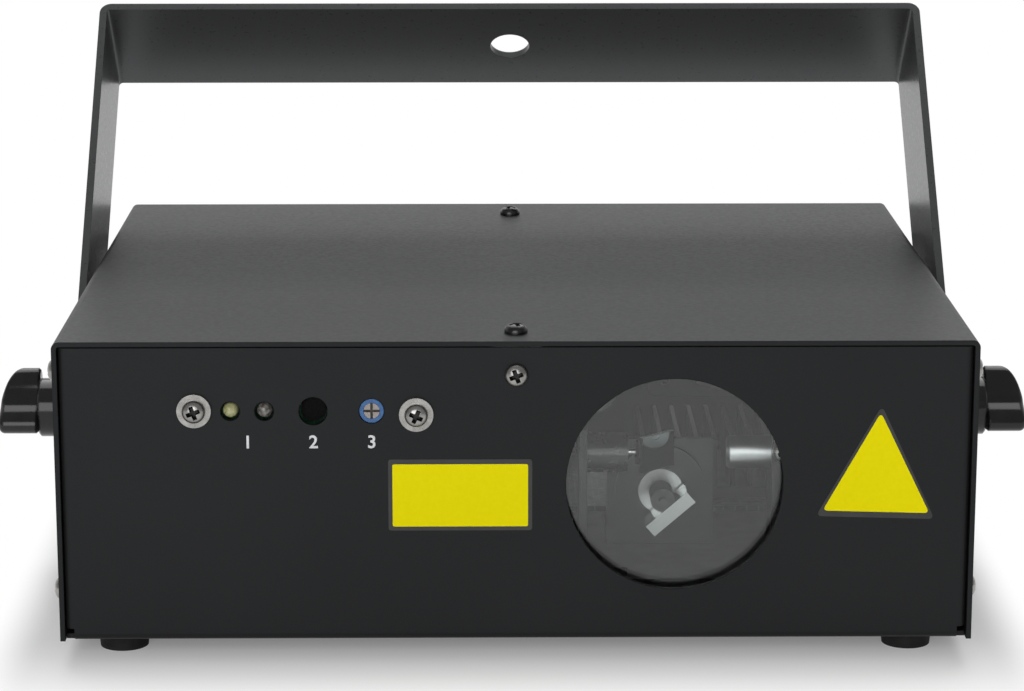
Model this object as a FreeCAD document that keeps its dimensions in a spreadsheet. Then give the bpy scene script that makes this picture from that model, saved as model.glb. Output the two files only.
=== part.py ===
import FreeCAD, Part
import math
import os
from types import SimpleNamespace

import Sketcher

# Laser show projector with a tilting yoke.
# Frame: +X to the right seen from the front, front panel towards -Y, +Z up.
# The origin is on the floor under the middle of the whole object.

# Driving dimensions, in millimetres and degrees.
# Heights are above the underside of the chassis, depths are behind the front edge of the hood.
HOUSING = (
    ("width", 220.0), ("depth", 180.0), ("height", 74.0), ("sheet", 1.2),
    ("hood_bend", 1.8), ("chassis_bend", 1.8), ("panel_recess", 0.4), ("panel_gap", 0.35),
    ("fit_gap", 0.1), ("flange_margin", 5.0), ("flange_start", 3.0), ("bend_relief", 0.3),
    ("vent_width", 3.0), ("vent_length", 28.0), ("vent_pitch", 6.0), ("vent_x", -28.0),
    ("vent_depth", 112.0),
)
SCREWS = (
    ("screw_radius", 1.5), ("screw_gap", 0.15), ("head_radius", 2.8), ("head_taper", 0.7),
    ("head_height", 2.2), ("screw_length", 7.0), ("side_screw_inset", 9.5), ("side_screw_low", 10.6),
    ("side_screw_drop", 9.0), ("top_screw_front", 9.6), ("top_screw_rear", 16.5), ("panel_screw_drop", 8.2),
    ("angle_sheet", 1.5), ("angle_width", 12.0), ("angle_margin", 5.0),
)
FEET = (
    ("foot_height", 6.0), ("foot_radius", 6.5), ("foot_taper", 0.6), ("foot_side_inset", 13.6),
    ("foot_inset", 16.5), ("foot_recess_radius", 3.4), ("foot_recess", 3.2), ("foot_screw_past", 2.0),
)
YOKE = (
    ("yoke_sheet", 2.0), ("yoke_width", 35.0), ("yoke_reach", 120.0), ("yoke_tail", 17.5),
    ("yoke_bend", 3.2), ("yoke_end_round", 14.0), ("yoke_tilt", 44.0), ("pivot_forward", 5.0),
    ("hang_hole_radius", 5.5), ("friction_thickness", 2.6), ("friction_radius", 9.0),
    ("stud_radius", 3.0), ("stud_gap", 0.2), ("stud_run_gap", 0.05), ("stud_in_knob", 7.0),
    ("stud_past_nut", 2.5), ("nut_flats", 10.0), ("nut_height", 5.0),
    ("knob_washer_radius", 8.0), ("knob_washer_thickness", 1.6), ("knob_hub_radius", 7.75),
    ("knob_hub_length", 6.3), ("knob_neck_radius", 7.0), ("knob_neck_length", 1.0), ("wing_length", 11.5),
    ("wing_half", 6.4), ("wing_radius", 3.8), ("wing_round", 2.6), ("wing_turn", 33.0),
)
WINDOW = (
    ("window_share", 0.1723), ("window_rise", 1.7), ("window_margin", 11.0), ("gasket_step", 0.6),
    ("gasket_wide", 3.4), ("gasket_thickness", 1.8), ("pane_edge", 0.5), ("pane_thickness", 2.5),
)
CONTROLS = (
    ("control_drop", 17.0), ("board_thickness", 1.6), ("board_margin", 6.0), ("board_half", 7.5),
    ("board_screw_inset", 33.4), ("board_screw_step", 52.8), ("board_screw_left_rise", 0.2),
    ("board_screw_right_rise", -0.8), ("board_washer_radius", 4.1), ("board_washer_thickness", 0.8),
    ("spacer_length", 6.0), ("spacer_radius", 2.75),
    ("led_left_step", 8.6), ("led_right_step", 16.7), ("led_hole_radius", 2.35), ("led_radius", 1.9),
    ("mic_step", 28.3), ("mic_hole_radius", 3.45), ("mic_radius", 3.0), ("mic_length", 4.6),
    ("trimmer_step", 42.2), ("trimmer_hole_radius", 3.05), ("trimmer_collar_radius", 2.9),
    ("trimmer_half", 3.4), ("trimmer_back_off", 0.4), ("face_set_back", 0.2), ("rotor_radius", 1.9),
    ("rotor_run_gap", 0.05), ("rotor_depth", 2.2), ("rotor_slot_width", 0.6), ("rotor_slot_depth", 0.7),
)
OPTICS = (
    ("plate_height", 8.0), ("plate_thickness", 3.0), ("plate_left_step", 27.9), ("plate_side_inset", 10.0),
    ("plate_front", 15.0), ("plate_rear", 75.0), ("pillar_radius", 3.5), ("pillar_inset", 6.0),
    ("laser_depth", 24.0), ("laser_rise", 15.3), ("laser_tip_step", 14.1), ("laser_length", 42.0),
    ("laser_radius", 4.1), ("laser_aperture_radius", 1.5), ("laser_aperture_depth", 1.0),
    ("laser_chamfer", 0.5), ("clamp_left_step", 24.7), ("clamp_length", 22.0), ("clamp_front_wall", 2.4),
    ("clamp_back_wall", 2.4), ("clamp_top_wall", 4.0), ("clamp_slot", 1.4), ("clamp_gap", 0.05),
    ("clamp_screw_inset", 2.8), ("clamp_screw_rise", 1.8),
    ("pan_step", 0.9), ("pan_clear", 3.0), ("pan_depth", 44.5), ("pan_flange_radius", 11.5),
    ("pan_flange_thickness", 1.2), ("pan_boss_radius", 5.7), ("pan_boss_length", 1.5),
    ("pan_body_radius", 9.5), ("pan_body_length", 14.3), ("pan_bracket_width", 27.0),
    ("pan_bracket_sheet", 2.0), ("pan_bracket_rise", 13.0), ("pan_bracket_foot", 18.0),
    ("pan_shaft_radius", 1.0), ("shaft_run_gap", 0.05), ("pan_shaft_in", 6.0), ("pan_shaft_out", 11.0),
    ("pan_hub_radius", 3.0), ("pan_hub_length", 8.0), ("pan_hub_flat", 2.1), ("pan_hub_clear", 1.0),
    ("pan_mirror_length", 13.5), ("pan_mirror_thickness", 3.4), ("pan_mirror_depth", 9.0),
    ("pan_mirror_shift", -0.7), ("pan_angle", 41.0),
    ("tilt_bracket_step", 22.4), ("tilt_bracket_sheet", 2.0), ("tilt_bracket_half", 6.0),
    ("tilt_bracket_rise", 7.0), ("tilt_bracket_foot", 10.0), ("tilt_motor_radius", 5.0),
    ("tilt_motor_length", 10.0), ("tilt_shaft_radius", 0.75), ("tilt_shaft_in", 5.0),
    ("tilt_mirror_step", 2.7), ("tilt_mirror_turn", 45.0), ("tilt_mirror_width", 11.5),
    ("tilt_mirror_half", 4.4), ("tilt_mirror_thickness", 1.2), ("tilt_carrier_width", 9.0),
    ("tilt_carrier_half", 3.0), ("tilt_carrier_thickness", 2.4),
)
ELECTRONICS = (
    ("main_board_left", 12.0), ("main_board_side_inset", 18.0), ("main_board_step", 10.0),
    ("main_board_rear_inset", 40.0), ("heatsink_width", 40.0), ("heatsink_base", 3.0),
    ("heatsink_height", 16.0), ("heatsink_margin", 8.0), ("fin_thickness", 1.2), ("fin_pitch", 4.8),
    ("supply_side_inset", 12.0), ("supply_right", -34.0), ("supply_front", 42.0), ("supply_rear_inset", 52.0),
    ("supply_tall", 30.0), ("supply_round", 1.5),
)
FAN = (
    ("fan_share", 0.295), ("fan_drop", 29.5), ("fan_size", 50.0), ("fan_depth", 12.0), ("fan_corner", 3.0),
    ("fan_screw_half", 20.0), ("duct_radius", 23.4), ("blade_gap", 0.6), ("fan_hub_radius", 11.0),
    ("fan_hub_length", 8.2), ("fan_end_gap", 0.7), ("fan_axle_radius", 1.5), ("fan_axle_length", 5.0),
    ("stator_radius", 10.0), ("stator_thickness", 2.0), ("strut_width", 2.4), ("blade_thickness", 1.0),
    ("blade_root_chord", 8.6), ("blade_tip_chord", 10.6), ("blade_root_pitch", 48.0),
    ("blade_tip_pitch", 34.0), ("grille_slot_width", 3.0), ("grille_slot_pitch", 5.2),
    ("grille_slot_length", 40.0),
)
REAR = (
    ("socket_height", 22.0), ("menu_drop", 19.0),
    ("inlet_share", -0.36), ("inlet_flange_width", 48.0), ("inlet_flange_tall", 22.6), ("inlet_flange", 2.4),
    ("inlet_body_width", 27.6), ("inlet_body_tall", 20.2), ("inlet_body_depth", 22.0),
    ("inlet_well_width", 24.4), ("inlet_well_tall", 16.6), ("inlet_well_depth", 17.0),
    ("inlet_screw_half", 20.0), ("cut_gap", 0.2), ("pin_width", 4.0), ("pin_thickness", 2.0),
    ("pin_length", 12.0), ("pin_spread", 7.0), ("pin_rise", 4.0),
    ("dmx_in_share", -0.155), ("dmx_out_share", -0.01), ("dmx_flange_width", 26.0), ("dmx_flange_tall", 31.0),
    ("dmx_flange", 2.0), ("dmx_barrel_radius", 11.5), ("dmx_barrel_depth", 20.0), ("dmx_well_radius", 9.4),
    ("dmx_well_depth", 14.0), ("dmx_core_radius", 7.0), ("dmx_pin_radius", 1.2), ("dmx_pin_length", 12.0),
    ("dmx_pin_ring", 3.8), ("dmx_pin_hole_gap", 0.2), ("dmx_screw_x", 9.5), ("dmx_screw_z", 12.0),
    ("key_share", 0.113), ("key_collar_radius", 9.0), ("key_collar_length", 6.5), ("key_body_radius", 6.0),
    ("key_body_length", 18.0), ("key_plug_radius", 4.5), ("key_plug_length", 12.0), ("key_run_gap", 0.05),
    ("keyway_width", 1.2), ("keyway_tall", 6.0), ("keyway_depth", 8.0),
    ("menu_screw_inset", 19.0), ("menu_screw_step", 79.0), ("display_step", 17.0), ("display_width", 24.0),
    ("display_tall", 11.0), ("button_first_step", 41.0), ("button_pitch", 10.0), ("button_radius", 3.4),
    ("button_hole_gap", 0.3), ("button_proud", 1.6), ("button_lip", 0.9), ("button_lip_thickness", 1.0),
    ("button_lip_gap", 0.1), ("button_room", 0.95), ("switch_half", 3.0),
)
FIN_COUNT = 8
BLADE_COUNT = 7
STRUT_COUNT = 3
VENT_COUNT = 6
GRILLE_SLOT_COUNT = 9
BUTTON_COUNT = 4

doc = FreeCAD.newDocument("laser_projector")
pieces = []


class Size:
    """A number together with the sheet formula that it comes from."""

    def __init__(self, value, formula):
        self.value = value
        self.formula = formula

    def __add__(self, other):
        other = as_size(other)
        return Size(self.value + other.value, f"({self.formula} + {other.formula})")

    def __sub__(self, other):
        other = as_size(other)
        return Size(self.value - other.value, f"({self.formula} - {other.formula})")

    def __mul__(self, factor):
        factor = as_size(factor)
        return Size(self.value * factor.value, f"({self.formula} * {factor.formula})")

    def __truediv__(self, divisor):
        divisor = as_size(divisor)
        return Size(self.value / divisor.value, f"({self.formula} / {divisor.formula})")

    def __neg__(self):
        return Size(-self.value, f"(-{self.formula})")

    def __rsub__(self, other):
        return as_size(other) - self

    __radd__ = __add__
    __rmul__ = __mul__


def as_size(number):
    """Turn a plain number into a Size and leave a Size as it is."""
    if isinstance(number, Size):
        return number
    return Size(float(number), f"({float(number)})")


def cosine(angle):
    return Size(math.cos(math.radians(angle.value)), f"cos({angle.formula})")


def sine(angle):
    return Size(math.sin(math.radians(angle.value)), f"sin({angle.formula})")


def fill_sheet(*groups):
    """Write every driving dimension into one sheet and return the sizes by name."""
    sheet = doc.addObject("Spreadsheet::Sheet", "sizes")
    named = {}
    row = 0
    for group in groups:
        for name, number in group:
            row += 1
            sheet.set(f"A{row}", name)
            sheet.set(f"B{row}", str(number))
            sheet.setAlias(f"B{row}", name)
            named[name] = Size(number, f"sizes.{name}")
    doc.recompute()
    return SimpleNamespace(**named)


dim = fill_sheet(HOUSING, SCREWS, FEET, YOKE, WINDOW, CONTROLS, OPTICS, ELECTRONICS, FAN, REAR)


def bind(thing, prop, size):
    """Tie one property to its sheet formula."""
    thing.setExpression(prop, as_size(size).formula)


def place(thing, x, y, z):
    """Tie the position of an object to sheet formulas."""
    bind(thing, "Placement.Base.x", x)
    bind(thing, "Placement.Base.y", y)
    bind(thing, "Placement.Base.z", z)
    return thing


def aim(thing, x_way, z_way):
    """Turn an object so that its own X and Z axes point the given ways."""
    x_way = FreeCAD.Vector(*x_way)
    z_way = FreeCAD.Vector(*z_way)
    y_way = z_way.cross(x_way)
    rows = [(x_way[i], y_way[i], z_way[i], 0.0) for i in range(3)]
    matrix = FreeCAD.Matrix(*rows[0], *rows[1], *rows[2], 0.0, 0.0, 0.0, 1.0)
    thing.Placement = FreeCAD.Placement(FreeCAD.Vector(), FreeCAD.Rotation(matrix))
    return thing


def keep(thing, label):
    """Name a finished piece; its label names its file."""
    thing.Label = label
    pieces.append(thing)
    return thing


def new_body(label):
    return keep(doc.addObject("PartDesign::Body", "body"), label)


def origin_feature(body, role):
    for feature in body.Origin.OriginFeatures:
        if feature.Role == role:
            return feature
    raise ValueError(role)


def new_sketch(body, role, lift=0):
    """Start a sketch on an origin plane of the body, lifted along the plane's normal."""
    sketch = body.newObject("Sketcher::SketchObject", "sketch")
    sketch.AttachmentSupport = (origin_feature(body, role), [""])
    sketch.MapMode = "FlatFace"
    bind(sketch, "AttachmentOffset.Base.z", lift)
    return sketch


def constrain(sketch, kind, places, size):
    """Add one dimension to a sketch and tie it to the sheet."""
    size = as_size(size)
    number = sketch.addConstraint(Sketcher.Constraint(kind, *places, size.value))
    sketch.setExpression(f"Constraints[{number}]", size.formula)


def pin_point(sketch, geometry, point, x, y):
    constrain(sketch, "DistanceX", (-1, 1, geometry, point), x)
    constrain(sketch, "DistanceY", (-1, 1, geometry, point), y)


def flat(x, y):
    return FreeCAD.Vector(as_size(x).value, as_size(y).value, 0)


def outline(sketch, points):
    """Draw a closed outline of straight lines through the points."""
    first = sketch.GeometryCount
    count = len(points)
    for index, start in enumerate(points):
        end = points[(index + 1) % count]
        sketch.addGeometry(Part.LineSegment(flat(*start), flat(*end)), False)
    for index in range(count):
        following = first + (index + 1) % count
        sketch.addConstraint(Sketcher.Constraint("Coincident", first + index, 2, following, 1))
    for index, (x, y) in enumerate(points):
        pin_point(sketch, first + index, 1, x, y)


def rectangle(sketch, x0, y0, x1, y1):
    outline(sketch, [(x0, y0), (x1, y0), (x1, y1), (x0, y1)])


def circle(sketch, x, y, radius):
    radius = as_size(radius)
    number = sketch.addGeometry(Part.Circle(flat(x, y), FreeCAD.Vector(0, 0, 1), radius.value), False)
    pin_point(sketch, number, 3, x, y)
    constrain(sketch, "Radius", (number,), radius)


def slot(sketch, x0, y0, x1, y1, radius):
    """Draw a round-ended slot between two centres."""
    start = flat(x0, y0)
    end = flat(x1, y1)
    along = math.atan2(end.y - start.y, end.x - start.x)
    across = FreeCAD.Vector(-math.sin(along), math.cos(along), 0) * as_size(radius).value
    up = FreeCAD.Vector(0, 0, 1)
    quarter = math.pi / 2
    first = sketch.GeometryCount
    end_circle = Part.Circle(end, up, across.Length)
    start_circle = Part.Circle(start, up, across.Length)
    sketch.addGeometry(Part.LineSegment(start - across, end - across), False)
    sketch.addGeometry(Part.ArcOfCircle(end_circle, along - quarter, along + quarter), False)
    sketch.addGeometry(Part.LineSegment(end + across, start + across), False)
    sketch.addGeometry(Part.ArcOfCircle(start_circle, along + quarter, along + 3 * quarter), False)
    for index in range(4):
        following = first + (index + 1) % 4
        sketch.addConstraint(Sketcher.Constraint("Tangent", first + index, 2, following, 1))
    pin_point(sketch, first + 1, 3, x1, y1)
    pin_point(sketch, first + 3, 3, x0, y0)
    constrain(sketch, "Radius", (first + 1,), radius)


def add_feature(body, kind, sketch, length, symmetric, backward):
    feature = body.newObject(f"PartDesign::{kind}", kind.lower())
    feature.Profile = sketch
    bind(feature, "Length", length)
    feature.SideType = "Symmetric" if symmetric else "One side"
    feature.Reversed = backward
    doc.recompute()
    return feature


def pad(body, sketch, length, symmetric=False, backward=False):
    return add_feature(body, "Pad", sketch, length, symmetric, backward)


def pocket(body, sketch, length, symmetric=False, backward=False):
    """Cut a sketch into the body, and stop if it cuts nothing."""
    before = body.Shape.Volume
    feature = add_feature(body, "Pocket", sketch, length, symmetric, backward)
    if before - body.Shape.Volume < 1e-3:
        raise RuntimeError(f"{body.Label}: a pocket cuts nothing")
    return feature


def revolve(body, sketch, role):
    feature = body.newObject("PartDesign::Revolution", "revolution")
    feature.Profile = sketch
    feature.ReferenceAxis = (origin_feature(body, role), [""])
    feature.Angle = 360.0
    doc.recompute()
    return feature


def repeat_along(body, feature, role, pitch, count, backward=False):
    """Repeat a feature in a row along an origin axis of the body."""
    pattern = body.newObject("PartDesign::LinearPattern", "row")
    pattern.Originals = [feature]
    pattern.Direction = (origin_feature(body, role), [""])
    pattern.Reversed = backward
    pattern.Occurrences = count
    bind(pattern, "Length", pitch * (count - 1))
    body.Tip = pattern
    doc.recompute()


def repeat_around(body, feature, role, count):
    """Repeat a feature round an origin axis of the body."""
    pattern = body.newObject("PartDesign::PolarPattern", "ring")
    pattern.Originals = [feature]
    pattern.Axis = (origin_feature(body, role), [""])
    pattern.Angle = 360.0
    pattern.Occurrences = count
    body.Tip = pattern
    doc.recompute()


def round_edges(body, radius, wanted):
    """Round those edges of the body, seen in its own frame, for which wanted says yes."""
    tip = body.Tip
    chosen = [f"Edge{i + 1}" for i, edge in enumerate(tip.Shape.Edges) if wanted(edge.BoundBox)]
    if not chosen:
        raise RuntimeError(f"{body.Label}: no edge to round")
    feature = body.newObject("PartDesign::Fillet", "fillet")
    feature.Base = (tip, chosen)
    bind(feature, "Radius", radius)
    doc.recompute()


def close(a, b):
    return abs(a - b) < 1e-4


AXIS_TURNS = {
    "+x": FreeCAD.Rotation(FreeCAD.Vector(0, 1, 0), 90), "-x": FreeCAD.Rotation(FreeCAD.Vector(0, 1, 0), -90),
    "+y": FreeCAD.Rotation(FreeCAD.Vector(1, 0, 0), -90), "-y": FreeCAD.Rotation(FreeCAD.Vector(1, 0, 0), 90),
    "+z": FreeCAD.Rotation(), "-z": FreeCAD.Rotation(FreeCAD.Vector(1, 0, 0), 180),
}


def box(x0, y0, z0, x1, y1, z1):
    """A block between two corners."""
    block = doc.addObject("Part::Box", "block")
    bind(block, "Length", x1 - x0)
    bind(block, "Width", y1 - y0)
    bind(block, "Height", z1 - z0)
    return place(block, x0, y0, z0)


def rod(x, y, z, way, radius, length):
    """A cylinder that starts at a point and runs one way along an axis."""
    cylinder = doc.addObject("Part::Cylinder", "rod")
    bind(cylinder, "Radius", radius)
    bind(cylinder, "Height", length)
    cylinder.Placement = FreeCAD.Placement(FreeCAD.Vector(), AXIS_TURNS[way])
    return place(cylinder, x, y, z)


def taper(x, y, z, way, radius, end_radius, length):
    """A cone that starts at a point and runs one way along an axis."""
    cone = doc.addObject("Part::Cone", "taper")
    bind(cone, "Radius1", radius)
    bind(cone, "Radius2", end_radius)
    bind(cone, "Height", length)
    cone.Placement = FreeCAD.Placement(FreeCAD.Vector(), AXIS_TURNS[way])
    return place(cone, x, y, z)


def fuse(*shapes):
    joined = doc.addObject("Part::MultiFuse", "joined")
    joined.Shapes = list(shapes)
    joined.Refine = True
    return joined


def cut(base, *tools):
    result = doc.addObject("Part::Cut", "cut")
    result.Base = base
    result.Tool = tools[0] if len(tools) == 1 else fuse(*tools)
    result.Refine = True
    return result


def group(label, shapes):
    """Hold identical separate solids in one piece."""
    compound = doc.addObject("Part::Compound", "group")
    compound.Links = list(shapes)
    return keep(compound, label)


OPPOSITE = {"+x": "-x", "-x": "+x", "+y": "-y", "-y": "+y", "+z": "-z", "-z": "+z"}


def screw(x, y, z, way, length):
    """A pan-head screw: the point is under its head, and the shank runs the given way."""
    head = taper(x, y, z, OPPOSITE[way], dim.head_radius, dim.head_radius - dim.head_taper, dim.head_height)
    return fuse(head, rod(x, y, z, way, dim.screw_radius, length))


def ring(x, y, z, way, radius, hole_radius, thickness):
    return cut(rod(x, y, z, way, radius, thickness), rod(x, y, z, way, hole_radius, thickness))


# Places that several pieces share.
front_reach = dim.board_washer_thickness + dim.head_height - dim.panel_recess
rear_reach = dim.key_collar_length - dim.panel_recess
middle_y = (front_reach - rear_reach) / 2
front_y = middle_y - dim.depth / 2
rear_y = middle_y + dim.depth / 2
base_z = dim.foot_height
floor_z = base_z + dim.sheet
top_z = base_z + dim.height
under_top_z = top_z - dim.sheet
panel_y = front_y + dim.panel_recess
panel_in_y = panel_y + dim.sheet
back_y = rear_y - dim.panel_recess
back_in_y = back_y - dim.sheet
screw_hole = dim.screw_radius + dim.screw_gap
pivot_depth = dim.depth / 2 - dim.pivot_forward
pivot_height = dim.height / 2
pivot_y = front_y + pivot_depth
pivot_z = base_z + pivot_height
panel_screw_height = dim.height - dim.panel_screw_drop
side_screw_high = dim.height - dim.side_screw_drop
foot_half_x = dim.width / 2 - dim.foot_side_inset
SIDES = (("left", "-x", -1), ("right", "+x", 1))

# The window keeps its share of the width, and the optics behind it keep their steps from its middle.
window_x = dim.width * dim.window_share
window_height = dim.height / 2 + dim.window_rise
window_radius = dim.height / 2 - dim.window_margin
plate_left = window_x - dim.plate_left_step
plate_right = dim.width / 2 - dim.plate_side_inset
laser_tip_x = window_x + dim.laser_tip_step
clamp_left = window_x + dim.clamp_left_step
pan_x = window_x - dim.pan_step
tilt_bracket_left = window_x - dim.tilt_bracket_step
tilt_mirror_x = window_x - dim.tilt_mirror_step
pan_height = dim.plate_height + dim.plate_thickness + dim.pan_flange_radius + dim.pan_clear
laser_height = pan_height + dim.laser_rise

# The front controls hang from the top and the left side, like the menu at the rear.
left_side_x = -dim.width / 2
control_height = dim.height - dim.control_drop
board_screw_left_x = left_side_x + dim.board_screw_inset
board_screw_right_x = board_screw_left_x + dim.board_screw_step
board_screw_left_height = control_height + dim.board_screw_left_rise
board_screw_right_height = control_height + dim.board_screw_right_rise
led_left_x = board_screw_left_x + dim.led_left_step
led_right_x = board_screw_left_x + dim.led_right_step
mic_x = board_screw_left_x + dim.mic_step
trimmer_x = board_screw_left_x + dim.trimmer_step
board_z = base_z + control_height
control_back_y = panel_in_y + dim.spacer_length
menu_height = dim.height - dim.menu_drop
menu_screw_left_x = left_side_x + dim.menu_screw_inset
menu_screw_right_x = menu_screw_left_x + dim.menu_screw_step
display_x = menu_screw_left_x + dim.display_step
button_first_x = menu_screw_left_x + dim.button_first_step

# The rear sockets, the key switch and the fan share the width, and the electronics end short of them.
inlet_x = dim.width * dim.inlet_share
dmx_in_x = dim.width * dim.dmx_in_share
dmx_out_x = dim.width * dim.dmx_out_share
key_x = dim.width * dim.key_share
fan_x = dim.width * dim.fan_share
fan_height = dim.height - dim.fan_drop
main_board_right = dim.width / 2 - dim.main_board_side_inset
main_board_front = dim.plate_rear + dim.main_board_step
main_board_rear = dim.depth - dim.main_board_rear_inset
heatsink_deep = main_board_rear - main_board_front - dim.heatsink_margin * 2
supply_left = left_side_x + dim.supply_side_inset
supply_rear = dim.depth - dim.supply_rear_inset


def at_depth(depth):
    return front_y + depth


def above_base(height):
    return base_z + height


# Chassis: one bent sheet with the front panel, the bottom, the rear panel and four side flanges.
chassis = place(new_body("chassis"), 0, middle_y, base_z)
panel_half = dim.depth / 2 - dim.panel_recess
panel_in_half = panel_half - dim.sheet
chassis_half = dim.width / 2 - dim.sheet - dim.fit_gap
panel_top = dim.height - dim.sheet - dim.panel_gap
flange_end = dim.depth / 2 - dim.side_screw_inset - dim.flange_margin
profile = new_sketch(chassis, "YZ_Plane")
outline(profile, [
    (-panel_half, panel_top), (-panel_half, 0), (panel_half, 0), (panel_half, panel_top),
    (panel_in_half, panel_top), (panel_in_half, dim.sheet),
    (-panel_in_half, dim.sheet), (-panel_in_half, panel_top),
])
pad(chassis, profile, chassis_half * 2, symmetric=True)
flanges = new_sketch(chassis, "XY_Plane", dim.flange_start)
for side in (-1, 1):
    for end in (-1, 1):
        rectangle(flanges, chassis_half * side, panel_half * end,
                  (chassis_half - dim.sheet) * side, flange_end * end)
pad(chassis, flanges, panel_top - dim.flange_start)
notches = new_sketch(chassis, "XY_Plane", dim.flange_start)
notch = dim.chassis_bend + dim.bend_relief
for side in (-1, 1):
    for end in (-1, 1):
        rectangle(notches, chassis_half * side, panel_half * end,
                  (chassis_half - notch) * side, (panel_half - notch) * end)
pocket(chassis, notches, dim.flange_start * 2)
round_edges(chassis, dim.chassis_bend, lambda b: (
    close(b.YLength, 0) and close(abs(b.YMin), panel_half.value)
    and (close(b.ZMax, 0) or (close(b.XLength, 0) and close(abs(b.XMin), chassis_half.value)))))

front_holes = new_sketch(chassis, "XZ_Plane", panel_half)
circle(front_holes, window_x, window_height, window_radius)
circle(front_holes, led_left_x, control_height, dim.led_hole_radius)
circle(front_holes, led_right_x, control_height, dim.led_hole_radius)
circle(front_holes, mic_x, control_height, dim.mic_hole_radius)
circle(front_holes, trimmer_x, control_height, dim.trimmer_hole_radius)
circle(front_holes, board_screw_left_x, board_screw_left_height, screw_hole)
circle(front_holes, board_screw_right_x, board_screw_right_height, screw_hole)
circle(front_holes, 0, panel_screw_height, screw_hole)
pocket(chassis, front_holes, dim.sheet * 2)

rear_holes = new_sketch(chassis, "XZ_Plane", -(panel_in_half - dim.sheet))
inlet_half_width = dim.inlet_body_width / 2 + dim.cut_gap
inlet_half_tall = dim.inlet_body_tall / 2 + dim.cut_gap
display_half_width = dim.display_width / 2 + dim.cut_gap
display_half_tall = dim.display_tall / 2 + dim.cut_gap
rectangle(rear_holes, inlet_x - inlet_half_width, dim.socket_height - inlet_half_tall,
          inlet_x + inlet_half_width, dim.socket_height + inlet_half_tall)
rectangle(rear_holes, display_x - display_half_width, menu_height - display_half_tall,
          display_x + display_half_width, menu_height + display_half_tall)
circle(rear_holes, dmx_in_x, dim.socket_height, dim.dmx_barrel_radius + dim.cut_gap)
circle(rear_holes, dmx_out_x, dim.socket_height, dim.dmx_barrel_radius + dim.cut_gap)
circle(rear_holes, key_x, dim.socket_height, dim.key_body_radius + dim.cut_gap)
circle(rear_holes, 0, panel_screw_height, screw_hole)
circle(rear_holes, menu_screw_left_x, menu_height, screw_hole)
circle(rear_holes, menu_screw_right_x, menu_height, screw_hole)
button_places = [button_first_x + dim.button_pitch * i for i in range(BUTTON_COUNT)]
for button_x in button_places:
    circle(rear_holes, button_x, menu_height, dim.button_radius + dim.button_hole_gap)
for side in (-1, 1):
    circle(rear_holes, inlet_x + dim.inlet_screw_half * side, dim.socket_height, screw_hole)
    for socket_x in (dmx_in_x, dmx_out_x):
        circle(rear_holes, socket_x + dim.dmx_screw_x * side,
               dim.socket_height + dim.dmx_screw_z * side, screw_hole)
    for level in (-1, 1):
        circle(rear_holes, fan_x + dim.fan_screw_half * side,
               fan_height + dim.fan_screw_half * level, screw_hole)
pocket(chassis, rear_holes, dim.sheet * 3)

grille = new_sketch(chassis, "XZ_Plane", -(panel_in_half - dim.sheet))
grille_start_x = fan_x - dim.grille_slot_pitch * ((GRILLE_SLOT_COUNT - 1) / 2)
grille_half = dim.grille_slot_length / 2 - dim.grille_slot_width / 2
slot(grille, grille_start_x, fan_height - grille_half, grille_start_x, fan_height + grille_half,
     dim.grille_slot_width / 2)
grille_slot = pocket(chassis, grille, dim.sheet * 3)
repeat_along(chassis, grille_slot, "X_Axis", dim.grille_slot_pitch, GRILLE_SLOT_COUNT)

vents = new_sketch(chassis, "XY_Plane", dim.sheet * 2)
vent_mid = dim.vent_depth - dim.depth / 2
vent_half = dim.vent_length / 2 - dim.vent_width / 2
slot(vents, dim.vent_x, vent_mid - vent_half, dim.vent_x, vent_mid + vent_half, dim.vent_width / 2)
vent_slot = pocket(chassis, vents, dim.sheet * 3)
repeat_along(chassis, vent_slot, "X_Axis", dim.vent_pitch, VENT_COUNT)

foot_y_half = dim.depth / 2 - dim.foot_inset
floor_holes = new_sketch(chassis, "XY_Plane", dim.sheet * 2)
for side in (-1, 1):
    for end in (-1, 1):
        circle(floor_holes, foot_half_x * side, foot_y_half * end, dim.screw_radius)
pocket(chassis, floor_holes, dim.sheet * 3)

side_screw_half = dim.depth / 2 - dim.side_screw_inset


def side_screw_holes(body, radius):
    """Cut the holes of the side screws through both side walls."""
    sketch = new_sketch(body, "YZ_Plane")
    for end in (-1, 1):
        for level in (dim.side_screw_low, side_screw_high):
            circle(sketch, side_screw_half * end, level, radius)
    pocket(body, sketch, dim.width * 2, symmetric=True)


side_screw_holes(chassis, dim.screw_radius)

# Hood: U-shaped sheet cover, top and both sides, that carries the yoke.
hood = place(new_body("hood"), 0, middle_y, base_z)
hood_half = dim.width / 2
hood_in_half = hood_half - dim.sheet
hood_in_top = dim.height - dim.sheet
profile = new_sketch(hood, "XZ_Plane")
outline(profile, [
    (-hood_half, 0), (-hood_half, dim.height), (hood_half, dim.height), (hood_half, 0),
    (hood_in_half, 0), (hood_in_half, hood_in_top), (-hood_in_half, hood_in_top), (-hood_in_half, 0),
])
pad(hood, profile, dim.depth, symmetric=True)
round_edges(hood, dim.hood_bend, lambda b: (
    close(b.YLength, dim.depth.value) and close(b.ZMin, dim.height.value)))
round_edges(hood, dim.hood_bend - dim.sheet, lambda b: (
    close(b.YLength, dim.depth.value) and close(b.ZMin, hood_in_top.value)
    and close(b.ZMax, hood_in_top.value)))
side_screw_holes(hood, screw_hole)
pivots = new_sketch(hood, "YZ_Plane")
circle(pivots, pivot_depth - dim.depth / 2, pivot_height, dim.stud_radius + dim.stud_gap)
pocket(hood, pivots, dim.width * 2, symmetric=True)
top_holes = new_sketch(hood, "XY_Plane", dim.height + dim.sheet)
circle(top_holes, 0, dim.top_screw_front - dim.depth / 2, screw_hole)
circle(top_holes, 0, dim.depth / 2 - dim.top_screw_rear, screw_hole)
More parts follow.
